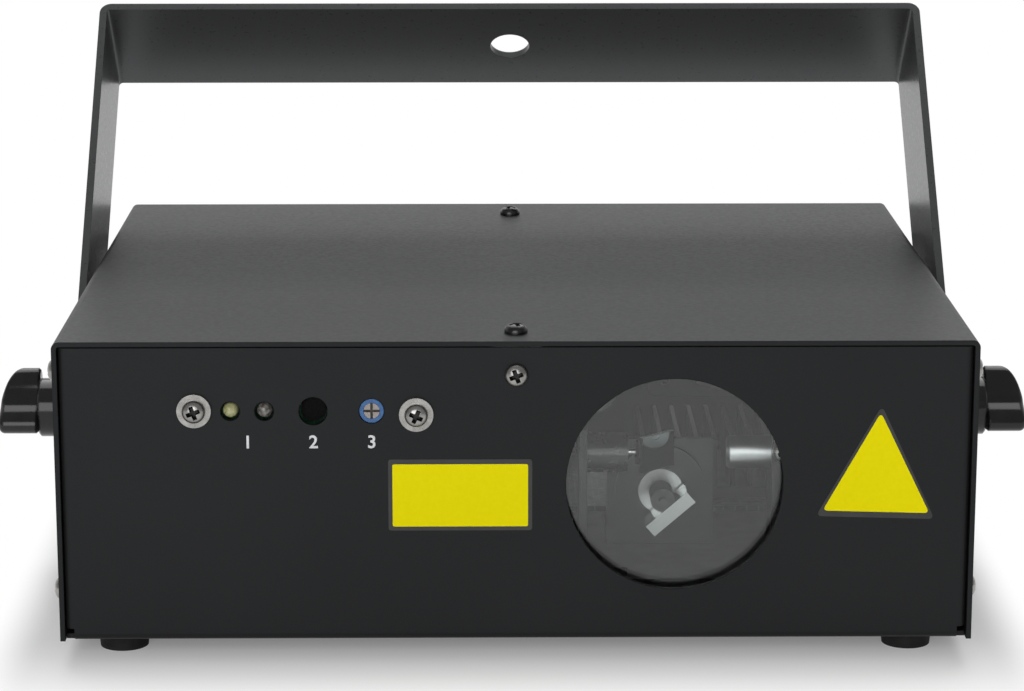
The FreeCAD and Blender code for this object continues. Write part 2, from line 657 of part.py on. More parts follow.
pocket(hood, top_holes, dim.sheet * 3)


def angle_bracket(label, wall_y, inward, screw_depth):
    """Bent angle under the hood: one leg on a panel, one under the top, each with a screw hole."""
    body = place(new_body(label), 0, wall_y, under_top_z)
    drop = under_top_z - above_base(panel_screw_height)
    reach = screw_depth - dim.panel_recess - dim.sheet
    leg = drop + dim.angle_margin
    shelf = reach + dim.angle_margin
    sketch = new_sketch(body, "YZ_Plane")
    outline(sketch, [
        (0, 0), (shelf * inward, 0), (shelf * inward, -dim.angle_sheet),
        (dim.angle_sheet * inward, -dim.angle_sheet), (dim.angle_sheet * inward, -leg), (0, -leg),
    ])
    pad(body, sketch, dim.angle_width, symmetric=True)
    down = new_sketch(body, "XY_Plane", dim.angle_sheet)
    circle(down, 0, reach * inward, dim.screw_radius)
    pocket(body, down, dim.angle_sheet * 3)
    across = new_sketch(body, "XZ_Plane")
    circle(across, 0, -drop, dim.screw_radius)
    pocket(body, across, dim.angle_sheet * 4, symmetric=True)


angle_bracket("front_angle_bracket", panel_in_y, 1, dim.top_screw_front)
angle_bracket("rear_angle_bracket", back_in_y, -1, dim.top_screw_rear)

# Screws of the housing.
group("hood_top_screws", [
    screw(0, at_depth(dim.top_screw_front), top_z, "-z", dim.screw_length),
    screw(0, rear_y - dim.top_screw_rear, top_z, "-z", dim.screw_length),
])
case_screws = [
    screw(0, panel_y, above_base(panel_screw_height), "+y", dim.screw_length),
    screw(0, back_y, above_base(panel_screw_height), "-y", dim.screw_length),
]
for _, outward, side in SIDES:
    for screw_y in (at_depth(dim.side_screw_inset), rear_y - dim.side_screw_inset):
        for level in (dim.side_screw_low, side_screw_high):
            case_screws.append(
                screw(hood_half * side, screw_y, above_base(level), OPPOSITE[outward], dim.screw_length))
group("case_screws", case_screws)

# Rubber feet, each screwed on from below through its recess.
feet = []
foot_screws = []
for side in (-1, 1):
    for foot_y in (at_depth(dim.foot_inset), rear_y - dim.foot_inset):
        foot_x = foot_half_x * side
        block = taper(foot_x, foot_y, base_z, "-z", dim.foot_radius,
                      dim.foot_radius - dim.foot_taper, dim.foot_height)
        feet.append(cut(
            block,
            rod(foot_x, foot_y, base_z, "-z", screw_hole, dim.foot_height),
            rod(foot_x, foot_y, 0, "+z", dim.foot_recess_radius, dim.foot_recess)))
        grip = dim.foot_height - dim.foot_recess + dim.sheet
        foot_screws.append(screw(foot_x, foot_y, dim.foot_recess, "+z", grip + dim.foot_screw_past))
group("rubber_feet", feet)
group("foot_screws", foot_screws)

# Yoke: a flat steel strip bent to a U, with a hanging hole in the middle and a pivot hole in each leg.
yoke = new_body("yoke")
leaning_back = FreeCAD.Rotation(FreeCAD.Vector(1, 0, 0), -dim.yoke_tilt.value)
yoke.Placement = FreeCAD.Placement(FreeCAD.Vector(), leaning_back)
bind(yoke, "Placement.Rotation.Angle", -dim.yoke_tilt)
place(yoke, 0, pivot_y, pivot_z)
yoke_in_half = hood_half + dim.friction_thickness
yoke_half = yoke_in_half + dim.yoke_sheet
yoke_in_reach = dim.yoke_reach - dim.yoke_sheet
profile = new_sketch(yoke, "XZ_Plane")
outline(profile, [
    (-yoke_half, -dim.yoke_tail), (-yoke_half, dim.yoke_reach), (yoke_half, dim.yoke_reach),
    (yoke_half, -dim.yoke_tail), (yoke_in_half, -dim.yoke_tail), (yoke_in_half, yoke_in_reach),
    (-yoke_in_half, yoke_in_reach), (-yoke_in_half, -dim.yoke_tail),
])
pad(yoke, profile, dim.yoke_width, symmetric=True)


def bend_line(bounds, half, reach):
    """Whether an edge is a bend line of the strip."""
    return (close(bounds.YLength, dim.yoke_width.value) and close(abs(bounds.XMin), half.value)
            and close(bounds.ZMin, reach.value) and close(bounds.ZMax, reach.value))


round_edges(yoke, dim.yoke_bend, lambda b: bend_line(b, yoke_half, dim.yoke_reach))
round_edges(yoke, dim.yoke_bend - dim.yoke_sheet, lambda b: bend_line(b, yoke_in_half, yoke_in_reach))
round_edges(yoke, dim.yoke_end_round, lambda b: (
    close(b.XLength, dim.yoke_sheet.value) and close(b.YLength, 0) and close(b.ZMax, -dim.yoke_tail.value)))
leg_holes = new_sketch(yoke, "YZ_Plane")
circle(leg_holes, 0, 0, dim.stud_radius + dim.stud_gap)
pocket(yoke, leg_holes, dim.width * 2, symmetric=True)
hang_hole = new_sketch(yoke, "XY_Plane", dim.yoke_reach + dim.yoke_sheet)
circle(hang_hole, 0, 0, dim.hang_hole_radius)
pocket(yoke, hang_hole, dim.yoke_sheet * 3)

# Clamp on each side: friction washer, yoke leg, washer, winged knob with its stud, nut inside the hood.
friction_washers = []
pivot_nuts = []
nut_corner_radius = dim.nut_flats / math.sqrt(3)
for name, outward, side in SIDES:
    friction_washers.append(ring(
        hood_half * side, pivot_y, pivot_z, outward, dim.friction_radius, dim.stud_radius + dim.stud_gap,
        dim.friction_thickness))
    keep(ring(yoke_half * side, pivot_y, pivot_z, outward, dim.knob_washer_radius,
              dim.stud_radius + dim.stud_gap, dim.knob_washer_thickness), f"{name}_knob_washer")

    hexagon = doc.addObject("Part::Prism", "hexagon")
    hexagon.Polygon = 6
    bind(hexagon, "Circumradius", nut_corner_radius)
    bind(hexagon, "Height", dim.nut_height)
    hexagon.Placement = FreeCAD.Placement(FreeCAD.Vector(), AXIS_TURNS[OPPOSITE[outward]])
    place(hexagon, hood_in_half * side, pivot_y, pivot_z)
    pivot_nuts.append(cut(hexagon, rod(
        hood_in_half * side, pivot_y, pivot_z, OPPOSITE[outward],
        dim.stud_radius + dim.stud_run_gap, dim.nut_height)))

    seat_x = yoke_half + dim.knob_washer_thickness
    wing_way = (0, -cosine(dim.wing_turn).value, -sine(dim.wing_turn).value)
    knob = aim(new_body(f"{name}_knob"), wing_way, (side, 0, 0))
    place(knob, seat_x * side, pivot_y, pivot_z)
    hub = new_sketch(knob, "XZ_Plane")
    neck_end = dim.knob_hub_length + dim.knob_neck_length
    outline(hub, [(0, 0), (dim.knob_hub_radius, 0), (dim.knob_hub_radius, dim.knob_hub_length),
                  (dim.knob_neck_radius, neck_end), (0, neck_end)])
    revolve(knob, hub, "Z_Axis")
    wing = new_sketch(knob, "XY_Plane", neck_end)
    slot(wing, -dim.wing_half, 0, dim.wing_half, 0, dim.wing_radius)
    pad(knob, wing, dim.wing_length)
    wing_end = (neck_end + dim.wing_length).value
    round_edges(knob, dim.wing_round, lambda b: close(b.ZMin, wing_end))
    socket = new_sketch(knob, "XY_Plane")
    circle(socket, 0, 0, dim.stud_radius)
    pocket(knob, socket, dim.stud_in_knob, backward=True)

    stud_start_x = seat_x + dim.stud_in_knob
    stud_end_x = hood_in_half - dim.nut_height - dim.stud_past_nut
    keep(rod(stud_start_x * side, pivot_y, pivot_z, OPPOSITE[outward], dim.stud_radius,
             stud_start_x - stud_end_x), f"{name}_knob_stud")
group("friction_washers", friction_washers)
group("pivot_nuts", pivot_nuts)

# Window: a foam ring behind the front panel holds a round glass pane.
window_z = above_base(window_height)
gasket_in_radius = window_radius + dim.gasket_step
gasket_radius = gasket_in_radius + dim.gasket_wide
keep(ring(window_x, panel_in_y, window_z, "+y", gasket_radius, gasket_in_radius, dim.gasket_thickness),
     "window_gasket")
keep(rod(window_x, panel_in_y + dim.gasket_thickness, window_z, "+y", gasket_radius + dim.pane_edge,
         dim.pane_thickness), "window_pane")

# Front controls: a small board on two spacers with lamps, microphone and trimmer.
board_left = board_screw_left_x - dim.board_margin
board_right = board_screw_right_x + dim.board_margin
front_screw_places = (
    (board_screw_left_x, above_base(board_screw_left_height)),
    (board_screw_right_x, above_base(board_screw_right_height)),
)
menu_z = above_base(menu_height)
rear_screw_places = ((menu_screw_left_x, menu_z), (menu_screw_right_x, menu_z))
menu_front_y = back_in_y - dim.spacer_length


def pierced_board(x0, x1, z0, z1, y0, screw_places):
    """A circuit board that stands behind a panel, with its screw holes."""
    holes = [rod(x, y0, z, "+y", dim.screw_radius, dim.board_thickness) for x, z in screw_places]
    return cut(box(x0, y0, z0, x1, y0 + dim.board_thickness, z1), *holes)


keep(pierced_board(board_left, board_right, board_z - dim.board_half, board_z + dim.board_half,
                   control_back_y, front_screw_places), "control_board")
spacers = []
board_screws = []
board_washers = []
for way, wall_out_y, wall_in_y, places in (
        ("+y", panel_y, panel_in_y, front_screw_places), ("-y", back_y, back_in_y, rear_screw_places)):
    for x, z in places:
        spacers.append(ring(x, wall_in_y, z, way, dim.spacer_radius, dim.screw_radius, dim.spacer_length))
        board_washers.append(ring(x, wall_out_y, z, OPPOSITE[way], dim.board_washer_radius, screw_hole,
                                  dim.board_washer_thickness))
        outside = -1 if way == "+y" else 1
        head_y = wall_out_y + dim.board_washer_thickness * outside
        grip = dim.board_washer_thickness + dim.sheet + dim.spacer_length + dim.board_thickness
        board_screws.append(screw(x, head_y, z, way, grip))
group("board_spacers", spacers)
group("board_screws", board_screws)
group("board_washers", board_washers)

face_y = panel_y + dim.face_set_back
for name, led_x in (("left_led", led_left_x), ("right_led", led_right_x)):
    shoulder_y = face_y + dim.led_radius
    dome = doc.addObject("Part::Sphere", "dome")
    bind(dome, "Radius", dim.led_radius)
    place(dome, led_x, shoulder_y, board_z)
    keep(fuse(rod(led_x, shoulder_y, board_z, "+y", dim.led_radius, control_back_y - shoulder_y), dome), name)
keep(rod(mic_x, control_back_y, board_z, "-y", dim.mic_radius, dim.mic_length), "microphone")

trimmer_front_y = panel_in_y + dim.trimmer_back_off
trimmer_block = box(trimmer_x - dim.trimmer_half, trimmer_front_y, board_z - dim.trimmer_half,
                    trimmer_x + dim.trimmer_half, control_back_y, board_z + dim.trimmer_half)
trimmer_collar = rod(trimmer_x, face_y, board_z, "+y", dim.trimmer_collar_radius, trimmer_front_y - face_y)
keep(cut(fuse(trimmer_block, trimmer_collar),
         rod(trimmer_x, face_y, board_z, "+y", dim.rotor_radius + dim.rotor_run_gap, dim.rotor_depth)),
     "trimmer_body")
slot_half = dim.rotor_slot_width / 2
slot_end_y = face_y + dim.rotor_slot_depth
keep(cut(rod(trimmer_x, face_y, board_z, "+y", dim.rotor_radius, dim.rotor_depth),
         box(trimmer_x - dim.rotor_radius, face_y, board_z - slot_half,
             trimmer_x + dim.rotor_radius, slot_end_y, board_z + slot_half),
         box(trimmer_x - slot_half, face_y, board_z - dim.rotor_radius,
             trimmer_x + slot_half, slot_end_y, board_z + dim.rotor_radius)), "trimmer_rotor")

# Optical plate and main board, both on pillars that are pressed into the floor.
plate_z = above_base(dim.plate_height)
plate_top_z = plate_z + dim.plate_thickness
keep(box(plate_left, at_depth(dim.plate_front), plate_z, plate_right, at_depth(dim.plate_rear), plate_top_z),
     "optical_plate")
pillars = []
for x0, x1, depth0, depth1 in (
        (plate_left, plate_right, dim.plate_front, dim.plate_rear),
        (dim.main_board_left, main_board_right, main_board_front, main_board_rear)):
    for x in (x0 + dim.pillar_inset, x1 - dim.pillar_inset):
        for depth in (depth0 + dim.pillar_inset, depth1 - dim.pillar_inset):
            pillars.append(rod(x, at_depth(depth), floor_z, "+z", dim.pillar_radius, plate_z - floor_z))
group("pillars", pillars)

# Laser: a turned barrel held in a slotted clamp block.
laser_y = at_depth(dim.laser_depth)
laser_z = above_base(laser_height)
laser = aim(new_body("laser_barrel"), (0, 1, 0), (1, 0, 0))
place(laser, laser_tip_x, laser_y, laser_z)
turning = new_sketch(laser, "XZ_Plane")
outline(turning, [
    (0, dim.laser_aperture_depth), (dim.laser_aperture_radius, dim.laser_aperture_depth),
    (dim.laser_aperture_radius, 0), (dim.laser_radius - dim.laser_chamfer, 0),
    (dim.laser_radius, dim.laser_chamfer), (dim.laser_radius, dim.laser_length), (0, dim.laser_length),
])
revolve(laser, turning, "Z_Axis")
clamp_bore = dim.laser_radius + dim.clamp_gap
clamp_front_y = laser_y - clamp_bore - dim.clamp_front_wall
clamp_back_y = laser_y + clamp_bore + dim.clamp_back_wall
clamp_top_z = laser_z + clamp_bore + dim.clamp_top_wall
clamp_right = clamp_left + dim.clamp_length
clamp_screw_z = laser_z + dim.clamp_screw_rise
clamp_screw_places = (clamp_left + dim.clamp_screw_inset, clamp_right - dim.clamp_screw_inset)
keep(cut(
    box(clamp_left, clamp_front_y, plate_top_z, clamp_right, clamp_back_y, clamp_top_z),
    rod(clamp_left, laser_y, laser_z, "+x", clamp_bore, dim.clamp_length),
    box(clamp_left, laser_y - dim.clamp_slot / 2, laser_z,
        clamp_right, laser_y + dim.clamp_slot / 2, clamp_top_z),
    *[rod(x, clamp_front_y, clamp_screw_z, "+y", dim.screw_radius, dim.clamp_front_wall + clamp_bore)
      for x in clamp_screw_places]), "laser_clamp")
group("laser_clamp_screws", [
    screw(x, clamp_front_y, clamp_screw_z, "+y", dim.clamp_front_wall) for x in clamp_screw_places])

# Lower scanner: a motor on an upright bracket turns a thick glass mirror on a front-facing shaft.
pan_y = at_depth(dim.pan_depth)
pan_z = above_base(pan_height)
pan_wall_y = pan_y + dim.pan_flange_thickness
pan_back_y = pan_wall_y + dim.pan_bracket_sheet
pan_face_y = pan_y - dim.pan_boss_length
keep(cut(
    fuse(rod(pan_x, pan_face_y, pan_z, "+y", dim.pan_boss_radius, dim.pan_boss_length),
         rod(pan_x, pan_y, pan_z, "+y", dim.pan_flange_radius, dim.pan_flange_thickness),
         rod(pan_x, pan_wall_y, pan_z, "+y", dim.pan_body_radius, dim.pan_body_length)),
    rod(pan_x, pan_face_y, pan_z, "+y", dim.pan_shaft_radius + dim.shaft_run_gap, dim.pan_shaft_in)),
    "pan_motor")
pan_bracket_left = pan_x - dim.pan_bracket_width / 2
pan_bracket_right = pan_x + dim.pan_bracket_width / 2
foot_top_z = plate_top_z + dim.pan_bracket_sheet
keep(cut(
    fuse(box(pan_bracket_left, pan_wall_y, plate_top_z,
             pan_bracket_right, pan_back_y, pan_z + dim.pan_bracket_rise),
         box(pan_bracket_left, pan_wall_y, plate_top_z,
             pan_bracket_right, pan_back_y + dim.pan_bracket_foot, foot_top_z)),
    rod(pan_x, pan_wall_y, pan_z, "+y", dim.pan_body_radius, dim.pan_bracket_sheet)), "pan_bracket")

pan_u = (cosine(dim.pan_angle).value, 0, sine(dim.pan_angle).value)
hub_start = dim.pan_boss_length + dim.pan_hub_clear
pan_shaft = aim(new_body("pan_mirror_shaft"), pan_u, (0, -1, 0))
place(pan_shaft, pan_x, pan_y, pan_z)
core = new_sketch(pan_shaft, "XY_Plane", dim.pan_boss_length - dim.pan_shaft_in)
circle(core, 0, 0, dim.pan_shaft_radius)
pad(pan_shaft, core, dim.pan_shaft_in + dim.pan_shaft_out)
hub = new_sketch(pan_shaft, "XY_Plane", hub_start)
circle(hub, 0, 0, dim.pan_hub_radius)
pad(pan_shaft, hub, dim.pan_hub_length)
shave = new_sketch(pan_shaft, "XY_Plane", hub_start)
rectangle(shave, -dim.pan_hub_radius, -dim.pan_hub_flat, dim.pan_hub_radius, -dim.pan_hub_radius * 2)
pocket(pan_shaft, shave, dim.pan_hub_length, backward=True)

pan_mirror = aim(new_body("pan_mirror"), pan_u, (0, -1, 0))
place(pan_mirror, pan_x, pan_y, pan_z)
glass = new_sketch(pan_mirror, "XY_Plane", hub_start)
rectangle(glass, dim.pan_mirror_shift - dim.pan_mirror_length / 2, -dim.pan_hub_flat,
          dim.pan_mirror_shift + dim.pan_mirror_length / 2, -dim.pan_hub_flat - dim.pan_mirror_thickness)
pad(pan_mirror, glass, dim.pan_mirror_depth)

# Upper scanner: a small motor on the left bracket tilts the mirror that faces the laser.
tilt_wall_x = tilt_bracket_left + dim.tilt_bracket_sheet
tilt_motor_end_x = tilt_wall_x + dim.tilt_motor_length
tilt_front_y = laser_y - dim.tilt_bracket_half
tilt_back_y = laser_y + dim.tilt_bracket_half
keep(fuse(
    box(tilt_bracket_left, tilt_front_y, plate_top_z,
        tilt_wall_x, tilt_back_y, laser_z + dim.tilt_bracket_rise),
    box(tilt_bracket_left, tilt_front_y, plate_top_z,
        tilt_wall_x + dim.tilt_bracket_foot, tilt_back_y, plate_top_z + dim.tilt_bracket_sheet)),
    "tilt_bracket")
keep(cut(
    rod(tilt_wall_x, laser_y, laser_z, "+x", dim.tilt_motor_radius, dim.tilt_motor_length),
    rod(tilt_motor_end_x - dim.tilt_shaft_in, laser_y, laser_z, "+x",
        dim.tilt_shaft_radius + dim.shaft_run_gap, dim.tilt_shaft_in)), "tilt_motor")

# The mirror stands slantwise between the laser and the window, with its carrier on the back.
mirror_way = (cosine(dim.tilt_mirror_turn).value, sine(dim.tilt_mirror_turn).value, 0)
tilt_mirror = aim(new_body("tilt_mirror"), mirror_way, (0, 0, 1))
place(tilt_mirror, tilt_mirror_x, laser_y, laser_z)
glass = new_sketch(tilt_mirror, "XY_Plane")
rectangle(glass, -dim.tilt_mirror_width / 2, 0, dim.tilt_mirror_width / 2, dim.tilt_mirror_thickness)
pad(tilt_mirror, glass, dim.tilt_mirror_half * 2, symmetric=True)
carrier = aim(doc.addObject("Part::Box", "carrier"), mirror_way, (0, 0, 1))
bind(carrier, "Length", dim.tilt_carrier_width)
bind(carrier, "Width", dim.tilt_carrier_thickness)
bind(carrier, "Height", dim.tilt_carrier_half * 2)
seat = dim.tilt_mirror_thickness
mirror_cosine = cosine(dim.tilt_mirror_turn)
mirror_sine = sine(dim.tilt_mirror_turn)
carrier_half_width = dim.tilt_carrier_width / 2
place(carrier,
      tilt_mirror_x - carrier_half_width * mirror_cosine - seat * mirror_sine,
      laser_y - carrier_half_width * mirror_sine + seat * mirror_cosine,
      laser_z - dim.tilt_carrier_half)
shaft_start_x = tilt_motor_end_x - dim.tilt_shaft_in
carrier_mid_x = tilt_mirror_x - (seat + dim.tilt_carrier_thickness / 2) / mirror_sine
keep(fuse(carrier, rod(shaft_start_x, laser_y, laser_z, "+x", dim.tilt_shaft_radius,
                       carrier_mid_x - shaft_start_x)), "tilt_mirror_shaft")

# Main board with a finned heat sink, and the closed power supply on the floor.
main_board_y = at_depth(main_board_front)
sink_z = plate_z + dim.board_thickness
keep(box(dim.main_board_left, main_board_y, plate_z, main_board_right, at_depth(main_board_rear), sink_z),
     "main_board")
sink_x = (dim.main_board_left + main_board_right - dim.heatsink_width) / 2
sink_y = main_board_y + (main_board_rear - main_board_front - heatsink_deep) / 2
heat_sink = place(new_body("heat_sink"), sink_x, sink_y, sink_z)
foot = new_sketch(heat_sink, "XY_Plane")
rectangle(foot, 0, 0, dim.heatsink_width, heatsink_deep)
pad(heat_sink, foot, dim.heatsink_base)
fins = new_sketch(heat_sink, "XY_Plane", dim.heatsink_base)
fin_start = (dim.heatsink_width - dim.fin_pitch * (FIN_COUNT - 1) - dim.fin_thickness) / 2
rectangle(fins, fin_start, 0, fin_start + dim.fin_thickness, heatsink_deep)
fin = pad(heat_sink, fins, dim.heatsink_height - dim.heatsink_base)
repeat_along(heat_sink, fin, "X_Axis", dim.fin_pitch, FIN_COUNT)

supply = place(new_body("power_supply"), supply_left, at_depth(dim.supply_front), floor_z)
case = new_sketch(supply, "XY_Plane")
rectangle(case, 0, 0, dim.supply_right - supply_left, supply_rear - dim.supply_front)
pad(supply, case, dim.supply_tall)
round_edges(supply, dim.supply_round, lambda b: close(b.ZMin, dim.supply_tall.value))

# Fan on the rear panel: square frame with duct and struts, rotor with twisted blades.
fan_z = above_base(fan_height)
fan_frame = new_body("fan_frame")
fan_frame.Placement = FreeCAD.Placement(FreeCAD.Vector(), AXIS_TURNS["-y"])
place(fan_frame, fan_x, back_in_y, fan_z)
fan_half = dim.fan_size / 2
square = new_sketch(fan_frame, "XY_Plane")
rectangle(square, -fan_half, -fan_half, fan_half, fan_half)
pad(fan_frame, square, dim.fan_depth)
round_edges(fan_frame, dim.fan_corner, lambda b: close(b.ZLength, dim.fan_depth.value))
duct = new_sketch(fan_frame, "XY_Plane")
circle(duct, 0, 0, dim.duct_radius)
for side in (-1, 1):
    for level in (-1, 1):
        circle(duct, dim.fan_screw_half * side, dim.fan_screw_half * level, dim.screw_radius)
pocket(fan_frame, duct, dim.fan_depth, backward=True)
stator = new_sketch(fan_frame, "XY_Plane", dim.fan_depth - dim.stator_thickness)
circle(stator, 0, 0, dim.stator_radius)
pad(fan_frame, stator, dim.stator_thickness)
strut = new_sketch(fan_frame, "XY_Plane", dim.fan_depth - dim.stator_thickness)
strut_half = dim.strut_width / 2
rectangle(strut, dim.stator_radius / 2, -strut_half, dim.duct_radius + dim.blade_gap, strut_half)
strut_pad = pad(fan_frame, strut, dim.stator_thickness)
repeat_around(fan_frame, strut_pad, "Z_Axis", STRUT_COUNT)
axle = new_sketch(fan_frame, "XY_Plane", dim.fan_depth - dim.stator_thickness - dim.fan_axle_length)
circle(axle, 0, 0, dim.fan_axle_radius)
pad(fan_frame, axle, dim.fan_axle_length)

rotor = new_body("fan_rotor")
rotor.Placement = FreeCAD.Placement(FreeCAD.Vector(), AXIS_TURNS["-y"])
rotor_start = dim.fan_depth - dim.stator_thickness - dim.fan_end_gap - dim.fan_hub_length
place(rotor, fan_x, back_in_y - rotor_start, fan_z)
cup = new_sketch(rotor, "XY_Plane")
circle(cup, 0, 0, dim.fan_hub_radius)
pad(rotor, cup, dim.fan_hub_length)


def blade_section(reach, chord, pitch):
    """The slanted section of a fan blade at one distance from the axis."""
    sketch = new_sketch(rotor, "YZ_Plane", reach)
    run = chord * cosine(pitch) / 2
    rise = chord * sine(pitch) / 2
    across = dim.blade_thickness * sine(pitch) / 2
    up = dim.blade_thickness * cosine(pitch) / 2
    mid = dim.fan_hub_length / 2
    outline(sketch, [
        (-run - across, mid - rise + up), (-run + across, mid - rise - up),
        (run + across, mid + rise - up), (run - across, mid + rise + up),
    ])
    return sketch


blade = rotor.newObject("PartDesign::AdditiveLoft", "blade")
root_reach = dim.fan_hub_radius - dim.blade_thickness * 2
tip_reach = dim.duct_radius - dim.blade_gap * 2
blade.Profile = blade_section(root_reach, dim.blade_root_chord, dim.blade_root_pitch)
blade.Sections = [blade_section(tip_reach, dim.blade_tip_chord, dim.blade_tip_pitch)]
doc.recompute()
repeat_around(rotor, blade, "Z_Axis", BLADE_COUNT)
bore = new_sketch(rotor, "XY_Plane")
circle(bore, 0, 0, dim.fan_axle_radius + dim.shaft_run_gap)
pocket(rotor, bore, dim.fan_hub_length, backward=True)
group("fan_screws", [
    screw(fan_x + dim.fan_screw_half * side, back_y, fan_z + dim.fan_screw_half * level, "-y",
          dim.sheet + dim.fan_depth)
    for side in (-1, 1) for level in (-1, 1)])

# Mains inlet: flange with two ears outside, body with a deep well through the panel.
socket_z = above_base(dim.socket_height)
inlet_flange_y = back_y + dim.inlet_flange
inlet_end_y = back_y - dim.inlet_body_depth
well_end_y = inlet_flange_y - dim.inlet_well_depth


def centred_block(x, z, width, tall, y0, y1):
    return box(x - width / 2, y0, z - tall / 2, x + width / 2, y1, z + tall / 2)


keep(cut(
    fuse(centred_block(inlet_x, socket_z, dim.inlet_flange_width, dim.inlet_flange_tall,
                       back_y, inlet_flange_y),
         centred_block(inlet_x, socket_z, dim.inlet_body_width, dim.inlet_body_tall, inlet_end_y, back_y)),
    centred_block(inlet_x, socket_z, dim.inlet_well_width, dim.inlet_well_tall, well_end_y, inlet_flange_y),
    *[rod(inlet_x + dim.inlet_screw_half * side, back_y, socket_z, "+y", screw_hole, dim.inlet_flange)
      for side in (-1, 1)]), "mains_inlet")
connector_pins = [
    box(inlet_x + dim.pin_spread * side - dim.pin_thickness / 2, well_end_y,
        socket_z + dim.pin_rise * rise - dim.pin_width / 2,
        inlet_x + dim.pin_spread * side + dim.pin_thickness / 2, well_end_y + dim.pin_length,
        socket_z + dim.pin_rise * rise + dim.pin_width / 2)
    for side, rise in ((-1, -0.5), (0, 0.5), (1, -0.5))]
connector_screws = [
    screw(inlet_x + dim.inlet_screw_half * side, inlet_flange_y, socket_z, "-y", dim.screw_length)
    for side in (-1, 1)]

# Control sockets: square flange outside and round barrel through the panel.
# One has pins in its well, the other a pierced core.
dmx_flange_y = back_y + dim.dmx_flange
dmx_end_y = back_y - dim.dmx_barrel_depth
dmx_well_y = dmx_flange_y - dim.dmx_well_depth
pin_turns = [math.radians(30.0 + 120.0 * i) for i in range(3)]


def dmx_shell(socket_x):
    """Flange and barrel of a socket, with its well and its two screw holes."""
    return cut(
        fuse(centred_block(socket_x, socket_z, dim.dmx_flange_width, dim.dmx_flange_tall,
                           back_y, dmx_flange_y),
             rod(socket_x, back_y, socket_z, "-y", dim.dmx_barrel_radius, dim.dmx_barrel_depth)),
        rod(socket_x, dmx_flange_y, socket_z, "-y", dim.dmx_well_radius, dim.dmx_well_depth),
        *[rod(socket_x + dim.dmx_screw_x * side, back_y, socket_z + dim.dmx_screw_z * side, "+y", screw_hole,
              dim.dmx_flange) for side in (-1, 1)])


keep(dmx_shell(dmx_in_x), "dmx_input")
for turn in pin_turns:
    connector_pins.append(rod(
        dmx_in_x + dim.dmx_pin_ring * math.cos(turn), dmx_well_y,
        socket_z + dim.dmx_pin_ring * math.sin(turn), "+y", dim.dmx_pin_radius, dim.dmx_pin_length))
core_front_y = dmx_well_y + dim.dmx_pin_length
keep(cut(
    fuse(dmx_shell(dmx_out_x),
         rod(dmx_out_x, dmx_well_y, socket_z, "+y", dim.dmx_core_radius, dim.dmx_pin_length)),
    *[rod(dmx_out_x + dim.dmx_pin_ring * math.cos(turn), core_front_y,
          socket_z + dim.dmx_pin_ring * math.sin(turn), "-y", dim.dmx_pin_radius + dim.dmx_pin_hole_gap,
          dim.dmx_pin_length) for turn in pin_turns]), "dmx_output")
for socket_x in (dmx_in_x, dmx_out_x):
    for side in (-1, 1):
        connector_screws.append(screw(socket_x + dim.dmx_screw_x * side, dmx_flange_y,
                                      socket_z + dim.dmx_screw_z * side, "-y", dim.screw_length))
group("connector_pins", connector_pins)
group("connector_screws", connector_screws)

# Key switch: round collar outside, body through the panel, turning plug with a keyway.
key_face_y = back_y + dim.key_collar_length
keep(cut(
    fuse(rod(key_x, back_y, socket_z, "+y", dim.key_collar_radius, dim.key_collar_length),
         rod(key_x, back_y, socket_z, "-y", dim.key_body_radius, dim.key_body_length)),
    rod(key_x, key_face_y, socket_z, "-y", dim.key_plug_radius + dim.key_run_gap, dim.key_plug_length)),
    "key_switch")
keep(cut(
    rod(key_x, key_face_y, socket_z, "-y", dim.key_plug_radius, dim.key_plug_length),
    centred_block(key_x, socket_z, dim.keyway_width, dim.keyway_tall,
                  key_face_y - dim.keyway_depth, key_face_y)), "key_plug")

# Menu: a board on two spacers behind the rear panel, with a display and four push buttons.
menu_back_y = menu_front_y - dim.board_thickness
lip_end_y = back_in_y - dim.button_lip_gap - dim.button_lip_thickness
switch_top_y = lip_end_y - dim.button_room
menu_plate = pierced_board(
    menu_screw_left_x - dim.board_margin, menu_screw_right_x + dim.board_margin,
    menu_z - dim.board_half, menu_z + dim.board_half, menu_back_y, rear_screw_places)
switches = [box(x - dim.switch_half, menu_front_y, menu_z - dim.switch_half,
                x + dim.switch_half, switch_top_y, menu_z + dim.switch_half) for x in button_places]
keep(fuse(menu_plate, *switches), "menu_board")
keep(centred_block(display_x, menu_z, dim.display_width, dim.display_tall,
                   menu_front_y, back_y - dim.face_set_back), "menu_display")
for number, x in enumerate(button_places, start=1):
    cap_length = dim.button_proud + dim.sheet + dim.button_lip_gap + dim.button_lip_thickness
    cap = rod(x, lip_end_y, menu_z, "+y", dim.button_radius, cap_length)
    lip = rod(x, lip_end_y, menu_z, "+y", dim.button_radius + dim.button_lip, dim.button_lip_thickness)
    keep(fuse(cap, lip), f"menu_button_{number}")

# Test every object, then write one file for each piece.
doc.recompute()
for thing in doc.Objects:
    if "Invalid" in thing.State or "Error" in thing.State:
        raise RuntimeError(f"{thing.Label} failed: {thing.State}")
for piece in pieces:
    if piece.Shape.isNull() or not piece.Shape.isValid() or not piece.Shape.Solids:
        raise RuntimeError(f"{piece.Label} has no valid solid")
os.makedirs("parts", exist_ok=True)
for piece in pieces:
    piece.Shape.exportStep(f"parts/{piece.Label}.step")
print(f"{len(pieces)} pieces written")
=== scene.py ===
import math

import bmesh
import bpy
from mathutils import Matrix, Vector


